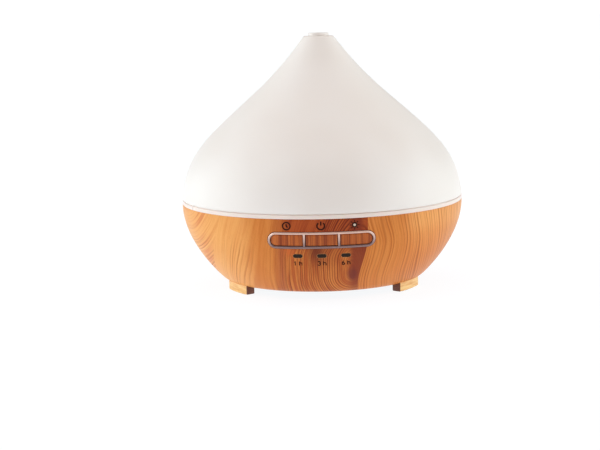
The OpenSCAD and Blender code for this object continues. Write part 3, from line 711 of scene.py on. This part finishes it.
def frosted_cover():
    """Frosted white plastic with a fine satin tooth."""
    g = Graph("frosted_cover")
    x, y, z = g.position()
    tooth = g.noise(g.vector(x, y, z), 0.35, 2.0, 0.6)
    clouds = g.noise(g.vector(x, y, z), 42.0, 1.0)
    g.colour(g.mix(clouds.step(0.3, 0.7), srgb(247, 242, 238), srgb(244, 238, 233)))
    g.roughness(tooth * 0.08 + 0.44)
    g.bump(tooth, 0.02, 0.35)
    g.set(Subsurface_Weight=0.18, Subsurface_Scale=0.004, Specular_IOR_Level=0.4)
    g.shader.inputs["Subsurface Radius"].default_value = (1.0, 0.92, 0.86)
    return g.material


def light_ring():
    """Translucent milky band with a faint warm tint."""
    g = Graph("light_ring")
    x, y, z = g.position()
    clouds = g.noise(g.vector(x, y, z), 12.0, 2.0)
    g.colour(g.mix(clouds.step(0.3, 0.7), srgb(246, 230, 222), srgb(242, 226, 217)))
    g.roughness(clouds * 0.1 + 0.24)
    g.set(Subsurface_Weight=0.1, Subsurface_Scale=0.004, Specular_IOR_Level=0.5)
    return g.material


def moulded(name, colour, roughness, spread, grain, depth, **inputs):
    """Moulded plastic or rubber: a fine tooth, and slight changes of tone and gloss."""
    g = Graph(name)
    x, y, z = g.position()
    tooth = g.noise(g.vector(x, y, z), grain, 2.0, 0.6)
    clouds = g.noise(g.vector(x, y, z), 16.0, 2.0)
    g.colour(g.mix(clouds.step(0.3, 0.7), colour, darker(colour, 1 - 2 * spread)))
    g.roughness(tooth * 0.12 + (roughness - 0.06))
    g.bump(tooth, depth, 0.4)
    return g.set(**inputs).material


def plated_frame():
    """Plated plastic with a rose tint and a satin gloss; painted shade darkens its lower run."""
    g = Graph("button_frame")
    x, y, z = g.position()
    tooth = g.noise(g.vector(x, y, z), 0.7, 2.0, 0.6)
    stains_and_shade_edge = g.noise(g.vector(x, y, z), 6.0, 2.0)
    # Painted shade: the frame is darker towards its lower run, and noise makes the edge of that shade uneven
    low = (z + (stains_and_shade_edge - 0.5) * 1.2).step(PANEL_Z + 3.4, PANEL_Z - 4.0)
    g.colour(g.mix(low, srgb(228, 194, 180), srgb(142, 116, 116)))
    g.roughness(tooth * 0.12 + 0.26)
    g.bump(tooth, 0.006, 0.4)
    return g.set(Metallic=0.45, Coat_Weight=0.15, Coat_Roughness=0.15).material


def metal(name, colour, roughness):
    """Metal with a drawn or turned grain along one direction."""
    g = Graph(name)
    x, y, z = g.position()
    lines = g.noise(g.vector(x / 8.0, y / 8.0, z), 0.4, 3.0, 0.6)
    stains_and_shade_edge = g.noise(g.vector(x, y, z), 7.0, 2.0)
    g.colour(g.mix(stains_and_shade_edge.step(0.35, 0.75), colour, darker(colour, 0.72)))
    g.roughness(lines * 0.16 + (roughness - 0.08))
    g.bump(lines, 0.008, 0.5)
    return g.set(Metallic=1.0).material


TRACK_PITCH = 1.9


def circuit_board(name, mask, track):
    """Solder mask with faint tracks and pads that lie on a small grid."""
    g = Graph(name)
    x, y, z = g.position()
    parts = [(place / TRACK_PITCH).op("FRACT") for place in (x, y)]
    across, down = [part.step(0.42, 0.5) * part.step(0.66, 0.58) for part in parts]
    cells = g.noise(g.vector((x / 6.0).op("FLOOR"), (y / 6.0).op("FLOOR"), 0.0), 0.37, 0.0)
    tracks = across * cells.step(0.46, 0.5) + down * cells.step(0.5, 0.46)
    g.colour(g.mix(tracks * 0.6, mask, track))
    g.roughness(tracks * -0.08 + 0.42)
    g.bump(tracks, 0.03, 0.6)
    return g.set(Coat_Weight=0.2, Coat_Roughness=0.2).material


def winding():
    """Enamelled copper wire, wound turn by turn about Z."""
    g = Graph("copper")
    x, y, z = g.position()
    turns = (z * 2.4 + x.op("ARCTAN2", y) * (0.5 / math.pi)).op("FRACT")
    groove = turns.step(0.0, 0.3) * turns.step(1.0, 0.7)
    # Painted shade: the copper is darkened where neighbouring turns meet, lighter on their crowns
    g.colour(g.mix(groove, srgb(96, 44, 20), srgb(196, 112, 62)))
    g.bump(groove, 0.12, 0.8)
    return g.set(Metallic=1.0, Roughness=0.32).material


def printed(name, colour):
    """Pad-printed ink with slightly uneven cover."""
    g = Graph(name)
    x, y, z = g.position()
    cover = g.noise(g.vector(x, y, z), 0.5, 2.0)
    g.colour(g.mix(cover, colour, darker(colour, 0.6)))
    return g.set(Roughness=0.6, Specular_IOR_Level=0.1).material


# Colour, roughness, change of tone, size and depth of the tooth, and other inputs
MOULDED = {
    "tank_plastic": (srgb(238, 240, 240), 0.34, 0.03, 0.9, 0.012, {}),
    "indicator_window": (srgb(40, 26, 16), 0.4, 0.05, 1.0, 0.004, {"Specular_IOR_Level": 0.15}),
    "black_plastic": (srgb(34, 34, 37), 0.52, 0.06, 0.5, 0.03, {}),
    "fan_grey": (srgb(58, 59, 63), 0.45, 0.06, 0.6, 0.02, {}),
    "connector_ivory": (srgb(232, 225, 205), 0.45, 0.05, 0.6, 0.02, {}),
    "bare_plastic": (srgb(176, 122, 74), 0.5, 0.06, 0.6, 0.02, {}),
    "led_lens": (srgb(255, 238, 190), 0.25, 0.05, 0.8, 0.01, {"Coat_Weight": 0.4}),
    "capacitor": (srgb(44, 52, 68), 0.35, 0.08, 1.2, 0.01, {"Coat_Weight": 0.3}),
    "magnet": (srgb(52, 52, 56), 0.6, 0.08, 0.4, 0.03, {}),
    "rubber_pads": (srgb(70, 70, 72), 0.8, 0.08, 0.5, 0.05, {}),
    "silicone": (srgb(232, 226, 214), 0.6, 0.05, 0.7, 0.02, {"Subsurface_Weight": 0.2}),
    "wire_red": (srgb(188, 44, 38), 0.42, 0.05, 1.5, 0.01, {}),
    "wire_grey": (srgb(196, 196, 190), 0.42, 0.05, 1.5, 0.01, {}),
    "wire_black": (srgb(30, 30, 32), 0.42, 0.05, 1.5, 0.01, {}),
}
METALS = {
    "steel": (srgb(204, 206, 210), 0.28),
    "brass": (srgb(214, 178, 104), 0.28),
    "heat_sink": (srgb(206, 208, 212), 0.36),
}
BOARDS = {
    "board_green": (srgb(24, 92, 56), srgb(66, 140, 92)),
    "board_white": (srgb(240, 240, 234), srgb(214, 214, 206)),
}
INKS = {
    "dark_print": srgb(64, 24, 10),
    "pale_print": srgb(244, 226, 206),
    "window_edge": srgb(206, 146, 98),
    # Painted shadow: the colour of the dark strip round the button frame
    "groove": srgb(104, 52, 30),
}


def make_materials():
    for make in (wood_print, button_wood, foot_wood, frosted_cover, light_ring):
        MATERIALS[make.__name__] = make()
    MATERIALS["button_frame"] = plated_frame()
    MATERIALS["copper"] = winding()
    for name, (*values, inputs) in MOULDED.items():
        MATERIALS[name] = moulded(name, *values, **inputs)
    for name, values in METALS.items():
        MATERIALS[name] = metal(name, *values)
    for name, values in BOARDS.items():
        MATERIALS[name] = circuit_board(name, *values)
    for name, colour in INKS.items():
        MATERIALS[name] = printed(name, colour)


# ---------- pieces ----------


def finish_piece(obj, body, slot, *replaced, material=None):
    """Gives a piece its body and material (material, else slot), and hides the CAD nodes it replaces."""
    obj.data.materials.clear()
    obj.data.materials.append(MATERIALS[material or slot])
    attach(obj, body)
    if replaced:
        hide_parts(*replaced)
    return obj


def bowl():
    """The wood-print bowl with its slot, its windows and its plug hole."""
    fillet, _ = bezier(BOWL_FILLET, 8)
    side, normal = bezier(BOWL_SIDE, 72)
    inner = (side - normal * BOWL_WALL)[::-1]
    lip_z = BOWL_BOTTOM + 2.2
    floor_z = BOWL_BOTTOM + 3.2
    outline = [(SEAT_R + 0.3, BOWL_BOTTOM)] + list(fillet[:-1]) + list(side[:-1])
    outline += [(SEAM_R, BOWL_TOP - 0.25), (SEAM_R - 0.25, BOWL_TOP), (SEAM_R - BOWL_WALL, BOWL_TOP)]
    outline += list(inner[1:])
    outline += [(FLOOR_EDGE_R, floor_z), (OPENING_R + 0.2, floor_z), (OPENING_R, floor_z - 0.2)]
    outline += [(OPENING_R, lip_z), (SEAT_R, lip_z), (SEAT_R, BOWL_BOTTOM + 0.3)]
    shell = lathe("bowl_shell", outline, 288)
    slot = outline_of(BEZEL_L - 1.2, BEZEL_H - 1.2, 0, PANEL_Z)
    cutters = [bar("cut_slot", slot, -CUT_OUTSIDE, -CUT_INSIDE)]
    for i in (-1, 0, 1):
        window = outline_of(WINDOW_L + 0.1, WINDOW_H + 0.1, i * WINDOW_PITCH, WINDOW_Z)
        cutters.append(bar("cut_window", window, -CUT_OUTSIDE, -CUT_INSIDE))
    hole = arc(0, JACK_Z, PLUG_HOLE_R, 0, 360, 49)[:-1]
    cutters.append(bar("cut_plug_hole", hole, JACK_HIGH.y - 12, CUT_OUTSIDE))
    cut_away(shell, cutters)
    return finish_piece(shell, "base", "wood_print", "base_shell")


def outline_of(length, height, x, z):
    """A stadium's outline as plain (x, z) points."""
    core, out = stadium(length, height, x, z)
    reach = height / 2
    return [(c[0] + reach * o[0], c[1] + reach * o[1]) for c, o in zip(core, out)]


def plug_sleeve():
    """The tube inside the plug hole, from the socket's face out to the bowl's skin."""
    inside, outside, steps = PLUG_HOLE_R, PLUG_HOLE_R + 1.6, 64
    verts = []
    for k in range(steps):
        a = 2 * math.pi * k / steps
        for r, at_skin in ((inside, 1), (outside, 1), (outside, 0), (inside, 0)):
            x = r * math.cos(a)
            z = JACK_Z + r * math.sin(a)
            skin_y = math.sqrt(bowl_radius(z) ** 2 - x * x) - (0.05 if r == inside else 1.2)
            verts.append(Vector((x, skin_y if at_skin else JACK_HIGH.y, z)) * MM)
    tube = make_object("plug_sleeve", verts, grid_faces(steps, 4, True, True))
    return finish_piece(tube, "base", "wood_print", material="bare_plastic")


def ring_band():
    """The translucent band and the ledges that hold the tank and the cover."""
    r, top, low = SEAM_R, COVER_BOTTOM, BOWL_TOP
    band_top = top - 0.45
    outline = rounded([
        (r, low + 0.02, 0.1), (r, band_top, 0.75), (r - 0.8, band_top, 0.1), (r - 0.8, top, 0.1),
        (r - 2.9, top, 0.2), (r - 2.9, RING_HIGH.z, 0.5), (r - 4.5, RING_HIGH.z, 0.5),
        (r - 4.5, low + 0.1, 0.3), (r - 10, low + 0.1, 0.3), (r - 10, low - 1.4, 0.3),
        (r - 4.4, low - 1.4, 0.3), (r - 4.4, RING_LOW.z, 0.4), (r - 2.6, RING_LOW.z, 0.4),
        (r - 2.6, low + 0.02, 0.2),
    ])
    return finish_piece(lathe("light_ring_band", outline, 288), "base", "light_ring", "light_ring")


def cover():
    """The frosted cover: an even wall from the seam up to the flat shoulder."""
    low, low_normal = bezier(COVER_SIDE, 64)
    high, high_normal = bezier(COVER_NECK, 56)
    inner_high, inner_high_normal = bezier(COVER_NECK, 52, 0.0, 0.96)
    outline = [(SEAM_R - COVER_WALL, COVER_BOTTOM), (SEAM_R - 0.45, COVER_BOTTOM)]
    outline += [(SEAM_R - 0.12, COVER_BOTTOM + 0.12)]
    outline += list(low) + list(high[1:-1])
    outline += rounded_shoulder(high[-1], SPOUT_HOLE_R)
    outline += [(SPOUT_HOLE_R, SHOULDER_Z - 2.6)]
    outline += list((inner_high - inner_high_normal * COVER_WALL)[::-1])
    outline += list((low - low_normal * COVER_WALL)[::-1][1:])
    return finish_piece(lathe("cover_shell", outline, 320), "cover", "frosted_cover", "outer_cover")


def rounded_shoulder(corner, hole):
    """The soft edge from the cover's neck to its flat top."""
    x, z = corner
    start, middle, end = (np.array(point) for point in ((x + 0.28, z - 0.37), (x, z), (x - 0.5, z)))
    return soft_corner(start, middle, end) + [(hole + 0.1, SHOULDER_Z), (hole, SHOULDER_Z - 0.1)]


def spout():
    """The insert on the shoulder, with a funnel-shaped mouth."""
    top = SPOUT_HIGH.z
    outline = rounded([
        (4.5, SPOUT_LOW.z, 0.3), (5.6, SPOUT_LOW.z, 0.3), (5.6, SHOULDER_Z, 0.0), (6.15, SHOULDER_Z, 0.15),
        (6.2, top, 0.5), (5.2, top, 0.3), (4.5, top - 1.1, 0.5),
    ])
    return finish_piece(lathe("spout_insert", outline, 96), "cover", "frosted_cover", "mist_spout")


def inner_lid():
    """The inner lid: a dome over the water, with a chimney for the mist."""
    dome, _ = bezier(LID_DOME, 48)
    inside, inside_normal = bezier(LID_DOME, 44, 0.08, 1.0)
    low, top = LID_LOW.z, LID_HIGH.z
    outline = [(LID_HIGH.x - 0.3, low), (LID_HIGH.x, low + 0.3)] + list(dome)
    # The dome flows into the chimney, whose mouth has rounded edges
    outline += [(CHIMNEY_OUT + 0.6, 94.1), (CHIMNEY_OUT + 0.15, 95.4), (CHIMNEY_OUT, 96.7)]
    outline += [(CHIMNEY_OUT, top - 0.4), (CHIMNEY_OUT - 0.4, top), (CHIMNEY_IN + 0.4, top)]
    outline += [(CHIMNEY_IN, top - 0.4), (CHIMNEY_IN, 95.5)]
    outline += list((inside - inside_normal * LID_WALL)[::-1])
    outline += [(LID_STEP_IN, low + 4.6), (LID_STEP_IN, low + 3), (LID_STEP_OUT, low + 3)]
    outline += [(LID_STEP_OUT, low + 0.2), (LID_STEP_OUT + 0.2, low)]
    return finish_piece(lathe("inner_lid_dome", outline, 256), "inner_lid", "tank_plastic", "inner_cover")


def half_height_of(length, height, centre=0.0):
    """A function that gives half the height at x of a bar with round ends."""

    def half_height(x):
        over = max(abs(x - centre) - (length - height) / 2, 0.0)
        return math.sqrt(max((height / 2) ** 2 - over ** 2, 0.0)) + 1e-3

    return half_height


def bezel():
    """The pale round-ended frame with its two separators."""
    section = [
        (0.0, -0.05), (0.0, 0.22), (0.1, 0.42), (0.3, 0.6), (0.6, 0.7), (0.9, 0.66), (1.14, 0.48),
        (1.26, 0.24), (BEZEL_RIM, 0.0), (BEZEL_RIM, -FRAME_DEPTH), (0.7, -FRAME_DEPTH), (0.7, -0.05),
    ]
    frame_ring = ring_on_bowl("bezel_ring", BEZEL_L, BEZEL_H, section, 0, PANEL_Z, 50)
    half = BEZEL_H / 2 - BEZEL_RIM + 0.35
    across = [
        (-0.6, -FRAME_DEPTH), (-0.6, 0.12), (-0.48, 0.32), (-0.24, 0.42),
        (0.24, 0.42), (0.48, 0.32), (0.6, 0.12), (0.6, -FRAME_DEPTH),
    ]
    rows = 9
    bars = []
    for side in (-1, 1):
        verts = []
        for t in np.linspace(-half, half, rows):
            verts += [on_bowl(side * SEPARATOR_X + a, PANEL_Z + t, lift) for a, lift in across]
        faces = grid_faces(rows, len(across), False, True) + end_faces(rows, len(across))
        bars.append(make_object("separator", verts, faces, 50))
    whole = join("bezel_frame", [frame_ring] + bars, 50)
    return finish_piece(whole, "base", "button_frame", "button_bezel")


def bezel_groove_shadow():
    """A narrow dark strip between the frame and the bowl: painted shadow of the gap there."""
    section = [(-0.34, -0.05), (-0.3, 0.02), (0.1, 0.02), (0.1, -0.05)]
    groove = ring_on_bowl("bezel_groove_shadow", BEZEL_L, BEZEL_H, section, 0, PANEL_Z)
    finish_piece(groove, "base", "wood_print", material="groove")


def caps():
    """The three caps: their outer ends are round, and each has a softly rounded edge."""
    length = BEZEL_L - 2 * BEZEL_RIM - 2 * BUTTON_GAP
    height = BEZEL_H - 2 * BEZEL_RIM - 2 * BUTTON_GAP
    inner = SEPARATOR_X + SEPARATOR_W / 2 + BUTTON_GAP
    middle = SEPARATOR_X - SEPARATOR_W / 2 - BUTTON_GAP
    spans = {
        "timer": (-length / 2 + 0.01, -inner),
        "power": (-middle, middle),
        "light": (inner, length / 2 - 0.01),
    }
    for name, span in spans.items():
        outline = half_height_of(length, height)
        cap = pad_on_bowl(f"cap_{name}", span, outline, PANEL_Z, 0.1, -CAP_DEPTH, 0.5)
        finish_piece(cap, f"{name}_button", "button_wood", f"button_{name}")


def windows():
    """Dark indicator windows, each in a thin pale edge."""
    for i, name in ((-1, "left"), (0, "middle"), (1, "right")):
        centre = i * WINDOW_PITCH
        outline = half_height_of(WINDOW_L, WINDOW_H, centre)
        span = (centre - WINDOW_L / 2 + 0.01, centre + WINDOW_L / 2 - 0.01)
        lens = pad_on_bowl(f"window_{name}", span, outline, WINDOW_Z, -0.02, -WINDOW_DEPTH, 0.3, 16, 36)
        finish_piece(lens, "base", "indicator_window", f"indicator_lens_{name}")
        section = [(-0.16, -0.05), (-0.14, 0.03), (-0.06, 0.06), (0.0, 0.05), (0.06, -0.05)]
        edge = ring_on_bowl(f"window_edge_{name}", WINDOW_L + 0.1, WINDOW_H + 0.1, section, centre, WINDOW_Z)
        finish_piece(edge, "base", "wood_print", material="window_edge")


ICON_Z = PANEL_Z + 8.4
CLOCK_X, POWER_X, LAMP_X = -19.4, -0.2, 18.6
MARK_Z = WINDOW_Z - 5.9
MARK_H = 2.5
PRINT_W = 0.55


def ink(name, lines, width, colour="dark_print", lift=0.06):
    """Print along lines on the bowl."""
    finish_piece(strokes_on_bowl(name, lines, width, lift), "base", "wood_print", material=colour)


def icons():
    """Clock, power and lamp symbols over the buttons."""
    clock = [arc(CLOCK_X, ICON_Z, 2.1, 0, 360, 41)]
    clock.append([(CLOCK_X - 0.1, ICON_Z + 1.15), (CLOCK_X, ICON_Z + 0.05), (CLOCK_X + 0.65, ICON_Z - 0.8)])
    power = [arc(POWER_X, ICON_Z, 2.1, 130, 410, 37), [(POWER_X, ICON_Z + 0.3), (POWER_X, ICON_Z + 2.6)]]
    lamp = [arc(LAMP_X, ICON_Z, 1.15, 0, 360, 31)]
    for k in range(8):
        a = math.radians(45 * k)
        lamp.append([(LAMP_X + r * math.cos(a), ICON_Z + r * math.sin(a)) for r in (1.8, 2.7)])
    for name, lines, width in (("clock", clock, 0.8), ("power", power, 0.85), ("lamp", lamp[:1], 0.85)):
        ink(f"icon_{name}", lines, width)
    ink("icon_lamp_rays", lamp[1:], 0.5)
    ink("icon_lamp_centre", [arc(LAMP_X, ICON_Z, 0.36, 0, 360, 25)], 0.7, "pale_print", 0.08)


def hour_marks():
    """Hour numbers under the windows, each followed by a small h."""
    h = MARK_H

    def digit_1(x, z):
        return [[(x + 0.1, z + h - 0.5), (x + 0.7, z + h), (x + 0.7, z)]]

    def digit_3(x, z):
        upper = arc(x + 0.65, z + h * 0.74, 0.62, 160, -80, 14)
        lower = arc(x + 0.65, z + h * 0.29, 0.7, 80, -160, 16)
        return [upper, lower]

    def digit_6(x, z):
        stem = [(x + 1.2, z + h), (x + 0.5, z + h * 0.8), (x + 0.08, z + h * 0.4)]
        return [stem, arc(x + 0.72, z + 0.68, 0.66, 0, 360, 23)]

    def letter_h(x, z):
        arch = [(x + 1.4, z)] + arc(x + 0.7, z + h * 0.42, 0.7, 0, 180, 12)
        return [[(x, z), (x, z + h)], arch]

    for i, name, digit in ((-1, "1h", digit_1), (0, "3h", digit_3), (1, "6h", digit_6)):
        x = i * WINDOW_PITCH
        lines = digit(x - 2.3, MARK_Z) + letter_h(x + 0.8, MARK_Z)
        ink(f"hours_{name}", lines, PRINT_W)


def feet():
    """Arc-shaped feet with rounded ends and edges, fitted under the bowl."""
    fillet, _ = bezier(BOWL_FILLET, 12)
    for node in ("foot_front_left", "foot_front_right", "foot_rear"):
        low, high = box_mm(node)
        centre = (low + high) / 2
        middle = math.atan2(centre.y, centre.x)
        top_out = float(np.interp(FOOT_OUT, fillet[:, 0], fillet[:, 1]))
        section = [(FOOT_IN, low.z), (FOOT_OUT, low.z), (FOOT_OUT, top_out + 0.1)]
        section += [(BOWL_FILLET[1][0], BOWL_BOTTOM + 0.35), (BOWL_FILLET[0][0], BOWL_BOTTOM + 0.1)]
        section += [(FOOT_IN, BOWL_BOTTOM + 0.1)]
        steps = 25
        verts = []
        for a in np.linspace(middle - FOOT_HALF, middle + FOOT_HALF, steps):
            verts += [Vector((r * math.cos(a), r * math.sin(a), z)) * MM for r, z in section]
        faces = grid_faces(steps, len(section), False, True) + end_faces(steps, len(section))
        foot = make_object(node.replace("foot_", "foot_block_"), verts, faces)
        bevel(foot, 0.45)
        finish_piece(foot, "base", "foot_wood", node)


def dress_cad_nodes():
    """The CAD nodes that still show get the material of their slot."""
    for part in frame["record"]["subparts"]:
        node = NODES[part["node"]]
        if node.hide_render:
            continue
        material = MATERIALS[part["material_slot"]]
        if not node.material_slots:
            node.data.materials.append(material)
        for slot in node.material_slots:
            slot.material = material


# ---------- stage ----------

# The floor's radius, in metres
FLOOR_R = 6.0


def floor():
    """A floor that glows like a light table, so that it shows nearly white, with little shadow."""
    steps = 96
    rim = [2 * math.pi * k / steps for k in range(steps)]
    verts = [(0, 0, 0)] + [(FLOOR_R * math.cos(a), FLOOR_R * math.sin(a), 0) for a in rim]
    faces = [(0, 1 + k, 1 + (k + 1) % steps) for k in range(steps)]
    plane = make_object("floor", verts, faces)
    g = Graph("floor_pale")
    x, y, z = g.position()
    clouds = g.noise(g.vector(x, y, z), 240.0, 2.0)
    g.colour(g.mix(clouds, srgb(100, 101, 103), srgb(97, 98, 100)))
    g.set(Roughness=0.9, Specular_IOR_Level=0.1)
    g.set(Emission_Color=(0.97, 0.985, 1.0, 1.0), Emission_Strength=0.93)
    plane.data.materials.append(g.material)


def area_light(name, place, target, size, energy):
    data = bpy.data.lights.new(name, "AREA")
    data.shape = "RECTANGLE"
    data.size, data.size_y = size
    data.energy = energy
    light = bpy.data.objects.new(name, data)
    light.location = place
    light.rotation_euler = (Vector(target) - Vector(place)).to_track_quat("-Z", "Y").to_euler()
    bpy.context.scene.collection.objects.link(light)


# Strength and tint of the light that comes from each side of the room
ROOM = {
    "left": (2.55, 2.95, 3.05),
    "right": (2.15, 2.45, 2.45),
    "behind": (0.12, 0.13, 0.14),
    "above": (1.16, 1.06, 1.00),
    "front": (0.06, 0.01, 0.0),
    "horizon": (1.05, 1.05, 1.05),
}


def room():
    """A white room: bright at both sides, softer above, dim behind and in front, and white below."""
    world = bpy.data.worlds.new("room")
    bpy.context.scene.world = world
    world.use_nodes = True
    tree = world.node_tree
    direction = tree.nodes.new("ShaderNodeTexCoord")
    parts = tree.nodes.new("ShaderNodeSeparateXYZ")
    tree.links.new(direction.outputs["Generated"], parts.inputs[0])
    x, y, z = (Value(tree, parts.outputs[k]) for k in range(3))
    shares = {
        "left": x.step(-0.65, -1.0),
        "right": x.step(0.65, 1.0),
        "behind": y.step(0.1, 0.7),
        "above": z.step(0.45, 0.95),
        "front": y.step(0.2, -0.6),
        "horizon": z.step(0.09, 0.05),
    }
    colour = tree.nodes.new("ShaderNodeCombineColor")
    for channel in range(3):
        total = sum(share * ROOM[side][channel] for side, share in shares.items())
        tree.links.new(total.socket, colour.inputs[channel])
    tree.links.new(colour.outputs[0], tree.nodes["Background"].inputs["Color"])


def lights():
    """Two large soft boxes, one on each side."""
    area_light("soft_left", (-1.1, -0.15, 0.4), (0, 0, 0.08), (0.5, 0.9), 0.8)
    area_light("soft_right", (1.1, -0.15, 0.4), (0, 0, 0.08), (0.5, 0.9), 0.6)
    room()


def camera():
    """A long lens almost 7 degrees above level, rolled by little more than a degree."""
    distance, height = 1.0, 0.0655
    elevation, azimuth, roll = math.radians(6.94), math.radians(0.6), math.radians(1.29)
    level = Vector((-math.sin(azimuth), math.cos(azimuth), 0))
    right = Vector((math.cos(azimuth), math.sin(azimuth), 0))
    ahead = level * math.cos(elevation) - Vector((0, 0, math.sin(elevation)))
    up = right.cross(ahead)
    place = Vector((0, 0, height)) - ahead * distance
    cam_x = right * math.cos(roll) - up * math.sin(roll)
    cam_y = right * math.sin(roll) + up * math.cos(roll)
    data = bpy.data.cameras.new("camera")
    data.lens = 99.5
    data.sensor_width = 36.0
    data.shift_x = -0.0359
    data.shift_y = -0.0843
    cam = bpy.data.objects.new("camera", data)
    turn = Matrix((cam_x, cam_y, -ahead)).transposed().to_4x4()
    cam.matrix_world = Matrix.Translation(place) @ turn
    bpy.context.scene.collection.objects.link(cam)
    bpy.context.scene.camera = cam


camera()
make_materials()
bowl()
plug_sleeve()
ring_band()
cover()
spout()
inner_lid()
bezel()
bezel_groove_shadow()
caps()
windows()
icons()
hour_marks()
feet()
dress_cad_nodes()
floor()
lights()
bpy.context.scene.view_settings.view_transform = "Standard"
